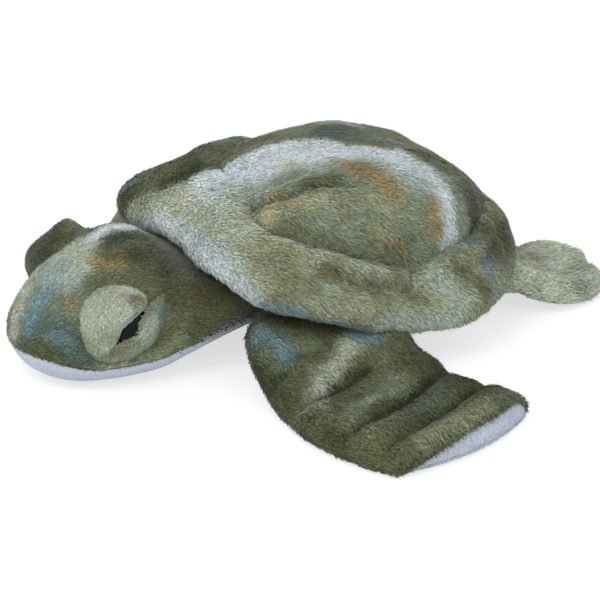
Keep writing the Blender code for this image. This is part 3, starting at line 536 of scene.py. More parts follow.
# Shell: dome, padded rim with its lobes, white belly
shell = {
    "halfWidth": 0.0857, "front": 0.0955, "rear": 0.0955, "height": 0.1095, "seamHeight": 0.046,
    "domeSquareness": 3.5, "bellySquareness": 4.6, "rearFall": 0.43, "plan": (2.6, 2.1),
    "rimHalfWidth": 0.1152, "rimFront": 0.1250, "rimRear": 0.1122, "rimPlan": (3.2, 2.1),
    # by degrees from the nose (0) round to the tail (180): edge height, reach as a share of the plan, seam
    # height and thickness on the left side, pressed down, and on the right side, standing up
    "rimEdge": [(0, 0.066), (30, 0.060), (45, 0.054), (60, 0.044), (76, 0.032), (95, 0.0245), (112, 0.027),
                (132, 0.036), (155, 0.040), (180, 0.040)],
    "leftReach": [(0, 1.0), (100, 1.0), (125, 0.975), (150, 0.93), (180, 0.91)],
    "rightReach": [(0, 1.0), (15, 1.02), (30, 1.11), (39, 1.15), (50, 1.11), (65, 1.03), (85, 1.0), (125, 0.97),
                   (150, 0.93), (180, 0.91)],
    "leftTop": [(0, 0.096), (10, 0.0925), (20, 0.0850), (30, 0.0785), (48, 0.0710), (58, 0.0655), (66, 0.0605),
                (77, 0.0535), (85, 0.0525), (91, 0.0530), (97, 0.0565), (104, 0.0585), (117, 0.0592),
                (123, 0.0630), (129, 0.0667), (137, 0.0710), (148, 0.0660), (163, 0.0580), (180, 0.0540)],
    "rightTop": [(0, 0.096), (20, 0.094), (40, 0.090), (60, 0.088), (80, 0.076), (100, 0.066), (120, 0.060),
                 (138, 0.056), (155, 0.054), (180, 0.054)],
    "leftThick": [(0, 0.015), (15, 0.016), (30, 0.021), (55, 0.021), (72, 0.017), (86, 0.013), (100, 0.017),
                  (115, 0.019), (128, 0.017), (134, 0.013), (142, 0.015), (160, 0.014), (180, 0.013)],
    "rightThick": [(0, 0.015), (20, 0.020), (40, 0.026), (60, 0.030), (85, 0.026), (115, 0.018), (150, 0.013),
                   (180, 0.013)],
    "rimSink": 0.004, "bellyOverlap": 0.004, "bellyInside": 0.985, "almostUpright": 0.985,
    # crests (height, degrees it rises over, degrees it falls over, less than 0) and hollows (depth, middle, width)
    "crests": [(0.0042, 16, 34, -90, -80), (0.0036, 88, 96, -134, -124)], "crestAt": (0.17, 0.11),
    "hollows": [(0.0050, 66, 17), (0.0026, 112, 12)], "hollowAt": (0.45, 0.15), "rightShare": (0.3, 0.7),
}


def planOutline(angle, halfWidth, front, rear, squareness):
    # half ovals x = a sgn(cos)|cos|^(2/n), y likewise, squarer in front (n0) than behind (n1); angle 0 is +X
    side, along = np.cos(angle), np.sin(angle)
    power = 2 / np.where(along < 0, squareness[0], squareness[1])
    x = halfWidth * np.sign(side) * np.abs(side) ** power
    y = np.where(along < 0, front, rear) * np.sign(along) * np.abs(along) ** power
    return np.stack([x, y], -1)


def seamOutline(angle):
    return planOutline(angle, shell["halfWidth"], shell["front"], shell["rear"], shell["plan"])


def fromNose(x, y):
    # degrees round from the nose, 0 to 180 on either side
    return np.degrees(np.arccos(np.clip(-y / (np.hypot(x, y) + 1e-9), -1, 1)))


def domeScale(outline, share):
    # how much lower the dome is towards its rear, by the square of the way there
    return 1 - shell["rearFall"] * (share * np.clip(outline[..., 1] / shell["rear"], 0, 1)) ** 2


def domeAt(outline, height):
    # the dome's points at a height: the share s of the plan with s^n + h^n = 1
    n, rise = shell["domeSquareness"], shell["height"] - shell["seamHeight"]
    share = np.full(len(outline), 0.9)
    for _ in range(12):
        level = np.clip((height - shell["seamHeight"]) / (rise * domeScale(outline, share)), 0, 0.999)
        share = (1 - level**n) ** (1 / n)
    return np.column_stack([outline * share[:, None], height])


def domeGrid(rows, columns):
    # rings from the seam up to the crown: share cos^(2/n), height sin^(2/n)
    outline = seamOutline(circle(columns))
    turn = np.linspace(0, math.pi / 2 * shell["almostUpright"], rows)
    power = 2 / shell["domeSquareness"]
    share, level = np.cos(turn) ** power, np.sin(turn) ** power
    spread = outline[None] * share[:, None, None]
    rise = shell["height"] - shell["seamHeight"]
    height = shell["seamHeight"] + rise * level[:, None] * domeScale(outline[None], share[:, None])
    return np.concatenate([spread, height[..., None]], -1)


def outwardOf(grid, wrapRows=False):
    # unit normals of a grid that closes across its columns, from the cross product of its two directions
    across = np.roll(grid, -1, 1) - np.roll(grid, 1, 1)
    along = np.roll(grid, -1, 0) - np.roll(grid, 1, 0) if wrapRows else np.gradient(grid, axis=0)
    return unit(np.cross(across, along), 1e-12)


folds = {
    # the keel runs over the crown from the front of the shell to its rear; the creases are short
    "keel": [(-0.064, -0.130), (-0.060, -0.123), (-0.047, -0.116), (-0.035, -0.104), (-0.030, -0.086),
             (-0.029, -0.050), (-0.025, -0.022), (-0.002, -0.002), (0.025, 0.026), (0.050, 0.043), (0.063, 0.046),
             (0.080, 0.044), (0.092, 0.040)],
    "creases": [[(0.0200, -0.090), (0.0290, -0.079), (0.0370, -0.066), (0.0400, -0.052)],
                [(0.040, -0.050), (0.048, -0.034)], [(0.020, 0.030), (0.034, 0.052)]],
    # each bell is (height, middle, width), by metres from the keel or from a crease
    "domeKeel": ((0.0018, 0, 0.007), (0.0022, -0.015, 0.010)),
    "rimKeel": ((0.0020, 0.001, 0.006), (0.0032, -0.010, 0.006)),
    "creaseSides": (0.0016, 0.007, 0.004), "creaseLine": (0.0052, 0, 0.0030),
    # pinches on the rim: degrees at the seam, how far it slants back, depth, half width in degrees, share it
    # runs to
    "pinches": [(85, 14, 0.0060, 4.0, 0.55), (134, 4, 0.0055, 3.5, 1.0)],
    "domeSwell": (0.0016, 0.075), "rimSwell": (0.0014, 0.045), "rimSmallSwell": (0.0005, 0.014),  # height, size
}


def bell(away, settings):
    height, middle, width = settings
    return height * bump(away, middle, width)


def keelSide(points):
    # metres to the near side of the keel in the plan, less than 0 beyond it: the distance to its nearest step,
    # signed by which side of that step the point lies on
    line = np.array(folds["keel"])
    start, step = line[:-1], np.diff(line, axis=0)
    offset = points[..., None, :2] - start
    share = np.clip((offset * step).sum(-1) / (step * step).sum(-1), 0, 1)
    apart = offset - share[..., None] * step
    away = np.linalg.norm(apart, axis=-1)
    nearest = away.argmin(-1)[..., None]
    cross = step[:, 0] * offset[..., 1] - step[:, 1] * offset[..., 0]
    return -np.sign(np.take_along_axis(cross, nearest, -1)[..., 0]) * np.take_along_axis(away, nearest, -1)[..., 0]


dome = domeGrid(72, 300)
normal = outwardOf(dome)
top = smoothStep(dome[..., 2], 0.070, 0.100)
swell, size = folds["domeSwell"]
lift = swell * waves(dome, size, 3) * smoothStep(dome[..., 2], 0.050, 0.080)
side = keelSide(dome)
keelPart = top * smoothStep(-dome[..., 1], -0.040, -0.005)
rise, drop = folds["domeKeel"]
lift += keelPart * (bell(side, rise) - bell(side, drop))
for crease in folds["creases"]:
    away = lineAway(dome[..., :2], crease)
    lift += top * (bell(away, folds["creaseSides"]) - bell(away, folds["creaseLine"]))
dome = dome + normal * lift[..., None]


def beyondKeel(points, near, far, seed):
    # near dye on this side of the keel, far dye beyond it, along a slightly ragged line
    strayed = keelSide(points) + 0.0014 * waves(points, 0.010, seed)
    share = smoothStep(-strayed, -0.0018, 0.0022)[:, None]
    return near * (1 - share) + far * share


frontStrokes = [
    ("cream", [(-30, -112, 82), (0, -112, 86), (30, -112, 84)], 22, 0.75),
    ("sand", [(-26, -108, 88), (-14, -106, 90)], 7, 0.65),
    ("white", [(-18, -94, 102), (-8, -58, 111), (0, -22, 113)], 22, 0.92),
    ("mist", [(14, -108, 94), (22, -90, 101), (28, -68, 106)], 9, 0.6),
]
farStrokes = [
    ("darkOlive", [(-72, -122, 60), (-56, -106, 80), (-44, -90, 98)], 10, 0.85),
    ("sage", [(-100, -80, 80), (-80, -50, 98), (-50, -10, 108)], 12, 0.7),
    ("ochre", [(-40, -70, 106), (-36, -40, 110)], 5, 0.5),
    ("teal", [(-34, -12, 112), (-18, 12, 112), (8, 34, 110)], 8, 0.75),
    ("ochre", [(-6, 6, 112), (14, 26, 109), (22, 34, 107)], 4.5, 0.75),
    # painted highlight: a pale mist band near the dome's far silhouette
    ("mist", [(-48, 4, 108), (-34, 22, 108)], 7, 0.7),
    ("olive", [(0, 50, 104), (30, 56, 98)], 12, 0.6),
    ("darkOlive", [(52, 58, 88), (66, 56, 78), (74, 52, 64)], 10, 0.85),
    ("darkOlive", [(30, 80, 76), (-50, 76, 76)], 20, 0.7),
    ("blue", [(-106, -124, 50), (-102, -122, 62), (-96, -118, 70)], 9, 0.85),
]


def shellPrintAndPaintedHighlight(points):
    near = dyed(points, "sage", frontStrokes + [
        ("moss", [(45, -66, 96), (66, -30, 98), (70, 4, 92)], 13, 0.45),
        ("olive", [(56, -76, 88), (76, -46, 80), (86, -16, 66)], 12, 0.55),
        ("white", [(-23, -74, 100), (-22, -50, 108), (-14, -36, 109), (6, -20, 110)], 17, 0.92),
        ("white", [(2, -4, 109), (24, 8, 109), (43, 18, 107)], 15, 0.95),
        ("white", [(48, 26, 103), (60, 28, 98), (70, 28, 91), (77, 26, 83), (82, 24, 72)], 8.5, 0.92),
        ("mist", [(50, 2, 106), (62, 14, 100)], 10, 0.6),
        ("sand", [(0, -56, 108), (8, -50, 109)], 5.5, 0.75),
        ("ochre", [(18, -92, 94), (26, -82, 98), (34, -72, 101)], 5.8, 0.95),
        ("sand", [(28, -92, 92), (38, -82, 94)], 6, 0.9),
        ("ochre", [(34, -90, 90)], 4, 0.7),
        ("sand", [(44, -68, 98), (50, -56, 99)], 6, 0.65),
        ("olive", [(36, -64, 103), (38, -48, 106), (40, -36, 108)], 7.5, 0.85),
        ("darkOlive", [(35, -34, 109), (40, -32, 109)], 4.5, 0.5),
        ("ochre", [(18, -24, 110), (28, -20, 110), (40, -18, 109)], 6.2, 0.95),
        ("ochre", [(42, -18, 109), (54, -10, 107), (62, -8, 104)], 8, 0.85),
        ("brown", [(40, -18, 109)], 3.4, 0.5),
        ("sand", [(62, -26, 100), (68, -18, 98)], 6, 0.55),
        ("ochre", [(72, 18, 92), (79, 16, 85), (84, 12, 76)], 5, 0.85),
        ("ochre", [(78, -30, 84), (84, -10, 76)], 7, 0.5),
    ], 20)
    return beyondKeel(points, near, dyed(points, "olive", farStrokes, 25, clouds=darkClouds), 28)


def ridesOn(body):
    return lambda piece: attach(piece, body)


shellTop = joined(closedSurface("shellTop", dome, printed))
dress(shellTop, ridesOn("body"), shellPrintAndPaintedHighlight, towards(0.35, 0.6, -0.5), 31,
      ("shell_top_panel", "body_filling"), cover=lambda p: (p[:, 2] > 0.050).astype(float))


def rimGrid(columns, section):
    # rings across the rim at each angle: an oval from the seam on the dome out and down to the edge, with a
    # raised crest at the seam and a hollow below it where it lies over the dome, and pinched between its lobes
    outer = planOutline(circle(columns), shell["rimHalfWidth"], shell["rimFront"], shell["rimRear"],
                        shell["rimPlan"])
    round_ = fromNose(outer[:, 0], outer[:, 1])
    left = smoothStep(outer[:, 0], -0.030, 0.020)

    def sided(what):
        return left * keyed(round_, shell["left" + what]) + (1 - left) * keyed(round_, shell["right" + what])

    outer = outer * sided("Reach")[:, None]
    inner = domeAt(seamOutline(circle(columns)), sided("Top"))
    edge = np.column_stack([outer, keyed(round_, shell["rimEdge"])])
    thick = sided("Thick")
    along = edge - inner
    reach = np.linalg.norm(along, axis=1)[:, None]
    along /= reach
    level = along[:, :2] / np.linalg.norm(along[:, :2], axis=1)[:, None]
    up = np.column_stack([-level * along[:, 2:], np.linalg.norm(along[:, :2], axis=1)])
    inner = inner - along * shell["rimSink"]
    turn = circle(section)
    share = (1 - np.cos(turn)) / 2
    upper = (np.sin(turn) > 0) * np.clip(np.sin(turn) * 6, 0, 1)
    blended = 1 - smoothStep(round_, 18, 34)[:, None] * np.ones(section)
    rounding = 0.75 + 0.75 * blended * smoothStep(-share, -0.55, 0.0)
    height = np.sign(np.sin(turn)) * np.abs(np.sin(turn)) ** rounding
    crest = sum(high * smoothStep(round_, a, b) * smoothStep(-round_, c, d)
                for high, a, b, c, d in shell["crests"])[:, None]
    hollow = sum(bell(round_, settings) for settings in shell["hollows"])[:, None]
    shaped = thick[:, None] * 0.5 * height
    folded = crest * bump(share, *shell["crestAt"]) - hollow * bump(share, *shell["hollowAt"])
    shaped = shaped + upper * folded * (shell["rightShare"][0] + shell["rightShare"][1] * left[:, None])
    for middle, slant, depth, width, until in folds["pinches"]:
        line = bump(round_[:, None], middle - slant * share[None], width)
        shaped = shaped - upper * depth * line * smoothStep(-share, -until, -until * 0.6)
    run = (reach + shell["rimSink"]) * share[None]
    return inner[:, None] + along[:, None] * run[..., None] + up[:, None] * shaped[..., None]


rim = rimGrid(420, 56)
normal = outwardOf(rim, True)
side = keelSide(rim)
keelPart = smoothStep(-rim[..., 1], 0.070, 0.095) * smoothStep(rim[..., 2], 0.055, 0.070)
(swell, size), (smallSwell, smallSize) = folds["rimSwell"], folds["rimSmallSwell"]
lift = swell * waves(rim, size, 8) + smallSwell * waves(rim, smallSize, 9)
rise, drop = folds["rimKeel"]
lift += keelPart * (bell(side, rise) - bell(side, drop))
rim = rim + normal * lift[..., None]


def rimPrintPaintedShadeAndHighlight(points):
    near = dyed(points, "moss", frontStrokes + [
        ("olive", [(74, -98, 76), (92, -82, 64)], 10, 0.5),
        ("white", [(-62, -121, 62), (-20, -125, 70), (34, -125, 73), (62, -120, 64),
                   (80, -114, 56)], 10.5, 0.95),
        ("blue", [(20, -120, 78), (36, -118, 78)], 6, 0.35),
        # painted highlight: a cream line along the crest of the near lobe
        ("cream", [(60, -88, 90), (80, -70, 84), (90, -50, 76), (94, -30, 67)], 4.2, 0.6),
        # painted shade: a brown band in the crease under the near lobe's top edge
        ("brown", [(90, -70, 72), (100, -50, 64), (104, -34, 57)], 7, 0.85),
        ("olive", [(100, -22, 56), (103, -10, 50)], 8, 0.6),
        ("blue", [(84, -108, 57), (100, -92, 53), (108, -76, 45)], 5.5, 0.9),
        ("mist", [(110, -58, 42), (115, -28, 36), (115, 10, 32)], 8, 0.6),
        ("mist", [(92, 4, 56), (101, 8, 46), (110, 16, 38)], 8, 0.55),
        ("brown", [(94, 24, 58), (106, 32, 46), (108, 36, 40)], 8, 0.75),
        ("sage", [(100, 26, 50)], 5, 0.5),
        ("blue", [(82, 40, 64), (92, 47, 56), (103, 44, 48), (108, 46, 38)], 4.5, 0.9),
        ("olive", [(105, 45, 30), (110, 30, 28)], 8, 0.5),
        ("darkOlive", [(86, 64, 62), (64, 86, 58), (20, 102, 56)], 22, 0.85),
        ("olive", [(80, 72, 66)], 10, 0.5),
        ("olive", [(-66, 80, 50), (-110, 10, 40)], 30, 0.7),
    ], 40)
    far = dyed(points, "olive", farStrokes, 25, clouds=darkClouds)
    front = smoothStep(-points[:, 1], 0.02, 0.05)[:, None]
    return beyondKeel(points, near, far * front + near * (1 - front), 28)


shellRim = joined(closedSurface("shellRim", rim, printed, wrapRows=True))
dress(shellRim, ridesOn("body"), rimPrintPaintedShadeAndHighlight, towards(0.5, 0.55, -0.5), 33, ("shell_rim",),
      cover=lambda p: 0.15 + 0.85 * (p[:, 2] > 0.026))


def bellyGrid(rows, columns):
    # rings from just over the seam down to the floor
    outline = seamOutline(circle(columns))
    turn = np.linspace(0, math.pi / 2 * shell["almostUpright"], rows)
    power = 2 / shell["bellySquareness"]
    share, level = np.cos(turn) ** power, np.sin(turn) ** power
    spread = outline[None] * share[:, None, None] * shell["bellyInside"]
    top = shell["seamHeight"] + shell["bellyOverlap"]
    height = top - top * level[:, None] * np.ones(columns)
    return np.concatenate([spread, height[..., None]], -1)


def whiteDye(points):
    return np.tile(np.array(dyes["plainWhite"]), (len(points), 1)) * (1 + 0.03 * waves(points, 0.03, 60)[:, None])


belly = bellyGrid(40, 220)
bellyPanel = joined(closedSurface("bellyPanel", belly, plainWhite))
dress(bellyPanel, ridesOn("body"), whiteDye, towards(0, 0.4, -1), 35, ("belly_panel",),
      cover=lambda p: (p[:, 2] > 0.004).astype(float), white=True)
print("shell made")


# Flippers: sewn pads with quilted channels, and a white underside that laps over the tip
frontFlipper = {
    # outline in the flipper's own plan, metres out from its hinge and back along it: leading edge, trailing edge
    "lead": [(-0.007, -0.047), (0.010, -0.0490), (0.026, -0.0485), (0.046, -0.0435), (0.070, -0.0370),
             (0.093, -0.0290), (0.113, -0.0165), (0.129, -0.0030), (0.1400, 0.0100)],
    "trail": [(-0.007, 0.044), (0.006, 0.047), (0.020, 0.0490), (0.032, 0.0530), (0.043, 0.0630),
              (0.054, 0.0690), (0.066, 0.0820), (0.077, 0.0950), (0.0885, 0.1060)],
    "tipBow": 0.0125, "puff": 0.0100, "under": 0.0078, "edgeRun": 0.014,
    "heights": (0.028, 0.0080), "fallRun": 0.065,
    "channels": [[(0.0800, -0.0400), (0.0736, -0.0291), (0.0638, -0.0073), (0.0453, 0.0177)],
                 [(0.1180, -0.0170), (0.1107, -0.0095), (0.0889, 0.0267), (0.0483, 0.0661)],
                 [(0.1370, 0.0010), (0.1290, 0.0110), (0.1101, 0.0394), (0.0831, 0.0700), (0.0700, 0.0890)]],
    "channelDepth": 0.66, "channelWidth": 0.0045,
    "dents": [[(0.050, -0.044), (0.0464, -0.0347), (0.0447, -0.0120)],
              [(0.034, -0.038), (0.0325, -0.0280), (0.0282, -0.0025)]], "dentDepth": 0.0034, "dentWidth": 0.0034,
    "wrap": 0.0056, "wrapFrom": (0.02, 0.60), "hinge": (0.0818, -0.0653), "turn": 17,
}
rearFlipper = {
    "lead": [(-0.006, -0.020), (0.006, -0.023), (0.018, -0.0285), (0.030, -0.0315), (0.041, -0.0300),
             (0.048, -0.0215), (0.0535, -0.0100)],
    "trail": [(-0.006, 0.026), (0.006, 0.031), (0.018, 0.0355), (0.030, 0.0380), (0.042, 0.0370),
              (0.052, 0.0320), (0.0585, 0.0240)],
    "tipBow": 0.0060, "puff": 0.0080, "under": 0.0072, "edgeRun": 0.010,
    "heights": (0.022, 0.0085), "fallRun": 0.032,
    "channels": [[(0.010, -0.008), (0.030, -0.012), (0.050, -0.012)],
                 [(0.010, 0.008), (0.030, 0.011), (0.050, 0.010)]],
    "channelDepth": 0.45, "channelWidth": 0.0050,
    "dents": [], "dentDepth": 0.0, "dentWidth": 0.01,
    "wrap": 0.0070, "wrapFrom": (-0.50, 0.00), "hinge": (0.0556, 0.0895), "turn": -73,
}


sewing = {
    "floorGap": 0.0003, "seamLift": 0.0010, "tipLift": 0.0025, "lineSteps": 24, "edgeSteps": 80,
    # the printed panel lies just over the white pad: how far in its seam lies, and how deep and how high the rest
    "panelSeam": 0.0004, "panelDepth": 0.0007, "panelRise": 0.0022,
}


def splined(points, share):
    # smooth line through the points, at shares 0 to 1 of their count
    points = np.asarray(points, float)
    places = np.linspace(0, 1, len(points))
    return np.stack([keyed(share, list(zip(places, points[:, k]))) for k in range(points.shape[1])], -1)


def flipperPlan(f, share, across, wrapped):
    # plan point at a share of the length and of the width; the printed panel stops short of the tip, where the
    # white one laps over it: more and more over the shares in wrapFrom, and less again near the rear corner
    lead, trail = splined(f["lead"], share), splined(f["trail"], share)
    run = trail - lead
    width = np.linalg.norm(run, axis=-1)[..., None]
    run = run / width
    bow = f["tipBow"] * share**5 * (1 - (2 * across - 1) ** 2)
    back = np.stack([run[..., 1], -run[..., 0]], -1)
    ends = wrapped * f["wrap"] * smoothStep(share, 0.55, 1.0) * smoothStep(across, *f["wrapFrom"])
    ends = ends * (1 - 0.6 * smoothStep(across, 0.88, 1.0))
    return lead + run * (width[..., 0] * across)[..., None] + back * (bow - ends)[..., None]


def awayFrom(plan, keys):
    return lineAway(plan, splined(keys, np.linspace(0, 1, sewing["lineSteps"])))


def pillow(f, plan, outline):
    # two shares of fullness: from 0 at the sewn edge to 1 inside, a quarter circle of the distance to the edge;
    # and how far the channels pinch it
    inside = np.clip(lineAway(plan, outline) / f["edgeRun"], 0, 1)
    pinch = np.ones(plan.shape[:-1])
    for channel in f["channels"]:
        pinch *= 1 - f["channelDepth"] * bump(awayFrom(plan, channel), 0, f["channelWidth"])
    return np.sqrt(np.clip(1 - (1 - inside) ** 2, 0, 1)), pinch


def closeAtEnds(count):
    # shares from 0 to 1, set closer together near both ends
    return (1 - np.cos(np.linspace(0, math.pi, count))) / 2


def flipperGrid(f, rows, columns, printedPanel):
    # the top rises from the sewn edge close to the floor
    share, across = np.meshgrid(closeAtEnds(rows), closeAtEnds(columns), indexing="ij")
    plan = flipperPlan(f, share, across, printedPanel)
    ring = np.linspace(0, 1, sewing["edgeSteps"])
    zero, one = np.zeros(len(ring)), np.ones(len(ring))
    outline = np.concatenate([flipperPlan(f, ring, zero, 0), flipperPlan(f, one, ring, 0),
                              flipperPlan(f, ring, one, 0)[::-1]])
    edge, pinch = pillow(f, plan, outline)
    fall = smoothStep(plan[..., 0], 0, f["fallRun"])
    middle = f["heights"][0] + (f["heights"][1] - f["heights"][0]) * fall
    low = np.maximum(middle - f["under"], sewing["floorGap"])
    atTip = smoothStep(share, 0.86, 0.98) * np.clip(4 * across * (1 - across), 0, 1)
    seam = low + sewing["seamLift"] + sewing["tipLift"] * atTip
    seam = seam + (middle - seam) * smoothStep(across, 0.6, 1.0) * smoothStep(-share, -1.0, -0.86)
    puff = f["puff"] * pinch
    for dent in f["dents"]:
        puff = puff - f["dentDepth"] * bump(awayFrom(plan, dent), 0, f["dentWidth"])
    top = np.concatenate([plan, (seam + (middle + puff - seam) * edge)[..., None]], -1)
    if printedPanel:
        normal = np.cross(np.gradient(top, axis=1), np.gradient(top, axis=0))
        normal *= np.sign(normal[..., 2:].mean()) / (np.linalg.norm(normal, axis=-1)[..., None] + 1e-12)
        border = np.minimum(np.arange(columns), np.arange(columns)[::-1])[None]
        border = np.clip(np.minimum(border, np.minimum(np.arange(rows), np.arange(rows)[::-1])[:, None]) / 2, 0, 1)
        return (top - normal * (sewing["panelSeam"] + sewing["panelDepth"] * border)[..., None],
                top - normal * (sewing["panelSeam"] - sewing["panelRise"] * border)[..., None])
    bottom = seam + (low - seam) * np.sqrt(edge * np.sqrt(pinch))
    return top, np.concatenate([plan, bottom[..., None]], -1)


def flipperPlace(f, grid, side, sweep):
    # bend the blade smoothly about its trailing root corner, as its solid is bent, and set it on its hinge
    pivot = np.array([0.008, f["trail"][1][1]])
    bend = smoothStep((grid[..., 0] - pivot[0]) / (0.55 * f["lead"][-1][0]))
    angle = math.radians(sweep) * bend
    du, dv = grid[..., 0] - pivot[0], grid[..., 1] - pivot[1]
    u = pivot[0] + du * np.cos(angle) - dv * np.sin(angle)
    v = pivot[1] + du * np.sin(angle) + dv * np.cos(angle)
    turn = math.radians(f["turn"])
    x = f["hinge"][0] + u * math.cos(turn) + v * math.sin(turn)
    y = f["hinge"][1] - u * math.sin(turn) + v * math.cos(turn)
    return np.stack([side * x, y, grid[..., 2]], -1)


def paddedForm(name, upper, lower, finish):
    # upper and lower grids share their borders; together they close
    rings = np.concatenate([upper, lower[:, -2:0:-1]], 1)
    return joined(closedSurface(name, rings, finish))


def makeFlipper(f, name, body, side, sweep, dye, seed):
    turn = math.radians(f["turn"])
    out = np.array([side * math.cos(turn), -math.sin(turn), 0])

    def bends(piece):
        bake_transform(piece)

    printedGrids = [flipperPlace(f, g, side, sweep) for g in flipperGrid(f, 130, 110, True)]
    grids = flipperGrid(f, 110, 90, False)
    under = paddedForm(name + "Underside", *(flipperPlace(f, g, side, sweep) for g in grids), plainWhite)
    dress(under, bends, whiteDye, towards(*(out + [0, 0.3, 0])), seed,
          (body + "_underside_panel", body + "_filling"), white=True,
          cover=clearOf(printedGrids[0].reshape(-1, 3), 0.0020))
    top = paddedForm(name + "Top", *printedGrids, printed)
    lay = out + np.array([0, 0.55, 0])
    dress(top, bends, dye, towards(*lay), seed + 1, (body + "_top_panel",))


def leftFlipperPrintPaintedShadeAndHighlight(points):
    return dyed(points, "olive", [
        ("brown", [(76, -88, 38), (90, -78, 36), (104, -66, 34)], 10, 0.8),
        ("darkOlive", [(74, -90, 36), (76, -104, 24)], 8, 0.8),
        ("blue", [(80, -110, 30), (91, -107, 30), (104, -106, 26)], 8.5, 0.9),
        ("darkOlive", [(100, -124, 18), (124, -128, 16), (150, -130, 10)], 10, 0.7),
        # painted shade: a thin dark olive line along the crease dent
        ("darkOlive", [(115, -127, 20), (116, -112, 24), (121, -92, 28)], 4, 0.8),
        ("sage", [(100, -94, 32), (112, -84, 31)], 5, 0.5),
        ("cream", [(114, -66, 30), (127, -88, 24), (146, -108, 18)], 8.5, 0.9),
        ("ochre", [(128, -74, 26), (137, -82, 22)], 4, 0.5),
        ("blue", [(107, -56, 33), (113, -52, 31)], 6.5, 0.9),
        ("blue", [(117, -44, 28)], 5.5, 0.8),
        ("darkOlive", [(118, -34, 24), (132, -26, 19), (146, -24, 16)], 11, 0.8),
        ("darkOlive", [(154, -120, 14), (146, -98, 17), (133, -66, 20)], 4.5, 0.8),
        ("sage", [(172, -98, 18), (160, -74, 19), (148, -52, 19)], 6.5, 0.8),
        # painted highlight: a small cream spot on the sage band
        ("cream", [(168, -88, 19), (162, -78, 19)], 4, 0.5),
        ("darkOlive", [(168, -118, 14), (182, -114, 12)], 8, 0.6),
        ("darkOlive", [(176, -86, 15), (168, -62, 15), (156, -34, 15), (164, -18, 15)], 8.5, 0.9),
        ("moss", [(192, -96, 15), (184, -78, 16)], 6, 0.7),
        ("teal", [(186, -64, 16), (178, -40, 16)], 5, 0.6),
        ("darkOlive", [(186, -24, 15), (182, -10, 14)], 4.5, 0.7),
        ("moss", [(212, -78, 15), (208, -52, 16), (199, -24, 14)], 9, 0.8),
        ("sand", [(212, -58, 15), (207, -40, 15)], 4, 0.6),
        ("blue", [(184, -24, 15), (191, -14, 15)], 4.5, 0.6),
        ("olive", [(192, -4, 14), (196, 4, 12)], 8, 0.8),
    ], 70, clouds=darkClouds)


def rightFlipperDye(points):
    return dyed(points, "olive", [
        ("darkOlive", [(-100, -100, 32), (-130, -90, 24), (-170, -50, 18)], 18, 0.75),
        ("sage", [(-130, -60, 24), (-160, -20, 18)], 12, 0.6),
        ("cream", [(-180, -40, 16), (-190, 0, 16)], 9, 0.6),
        ("blue", [(-106, -60, 32), (-116, -50, 28)], 8, 0.7),
        ("moss", [(-210, -10, 14), (-204, 30, 14)], 10, 0.6),
    ], 78, clouds=darkClouds)


def rearDye(side):
    def dye(points):
        p = points * np.array([side, 1, 1])
        return dyed(p, "cream", [
            ("moss", [(50, 96, 26), (56, 112, 22)], 16, 0.8),
            ("olive", [(34, 100, 24), (42, 122, 20)], 8, 0.6),
            ("sage", [(74, 130, 16), (62, 146, 14)], 9, 0.7),
            ("cream", [(54, 132, 20), (46, 146, 16)], 7, 0.6),
        ], 75)
    return dye


for side, word, frontSweep, rearSweep, frontDye in (  # sweeps in degrees, backwards where above 0
    (1, "left", 0, 30, leftFlipperPrintPaintedShadeAndHighlight), (-1, "right", 40, -12, rightFlipperDye),
):
    makeFlipper(frontFlipper, word + "FrontFlipper", word + "_front_flipper", side, frontSweep, frontDye, 80 + side)
    makeFlipper(rearFlipper, word + "RearFlipper", word + "_rear_flipper", side, rearSweep, rearDye(side),
                90 + side)
print("flippers made")


head = {
    # by y, from the nose back to where the neck goes under the shell: half width, seam height,
    # crown height, chin height
    "rows": [
        (-0.2420, 0.008, 0.0255, 0.0275, 0.0220), (-0.2385, 0.017, 0.0250, 0.0345, 0.0145),
        (-0.2290, 0.030, 0.0220, 0.0440, 0.0055), (-0.2150, 0.041, 0.0180, 0.0525, 0.0010),
        (-0.1980, 0.048, 0.0165, 0.0600, 0.0003), (-0.1800, 0.052, 0.0170, 0.0650, 0.0003),
        (-0.1620, 0.055, 0.0195, 0.0680, 0.0018), (-0.1450, 0.056, 0.0255, 0.0660, 0.0060),
        (-0.1280, 0.056, 0.0325, 0.0600, 0.0090), (-0.1120, 0.054, 0.0370, 0.0570, 0.0110),
        (-0.0950, 0.050, 0.0395, 0.0560, 0.0120), (-0.0780, 0.044, 0.0395, 0.0550, 0.0120),
    ],
    "squareness": (3.0, 2.3), "chinSquareness": 2.4,  # right side of the crown, left side
    "tilt": [(-0.2435, 0.0), (-0.2250, 0.004), (-0.2000, 0.010), (-0.1700, 0.013), (-0.1500, 0.011),
             (-0.1340, 0.004), (-0.1200, 0.0), (-0.0780, 0.0)],
}


def headRows(count):
    keys = np.array(head["rows"])
    y = keys[0, 0] + (keys[-1, 0] - keys[0, 0]) * (1 - np.cos(np.linspace(0, math.pi / 2, count)))
    return y, [keyed(y, list(zip(keys[:, 0], keys[:, k]))) for k in range(1, 5)]


def headGrid(rows, columns, upper):
    # arches over the seam (or below it): across sgn(sin)|sin|^(2/n), up |cos|^(2/n)
    y, (half, seam, crown, chin) = headRows(rows)
    angle = np.linspace(-math.pi / 2, math.pi / 2, columns)
    n = np.where(angle < 0, *head["squareness"]) if upper else head["chinSquareness"]
    across = np.sign(np.sin(angle)) * np.abs(np.sin(angle)) ** (2 / n)
    up = np.clip(np.cos(angle), 0, 1) ** (2 / n)
    reach = crown - seam if upper else chin - seam
    x = half[:, None] * across
    z = seam[:, None] + reach[:, None] * up
    if upper:
        # the head leans to its left, so its right side stands higher
        z = z + keyed(y, head["tilt"])[:, None] * up * (0.5 - 0.5 * np.sin(math.pi / 2 * across))
    return np.stack([x, np.broadcast_to(y[:, None], x.shape), z], -1)


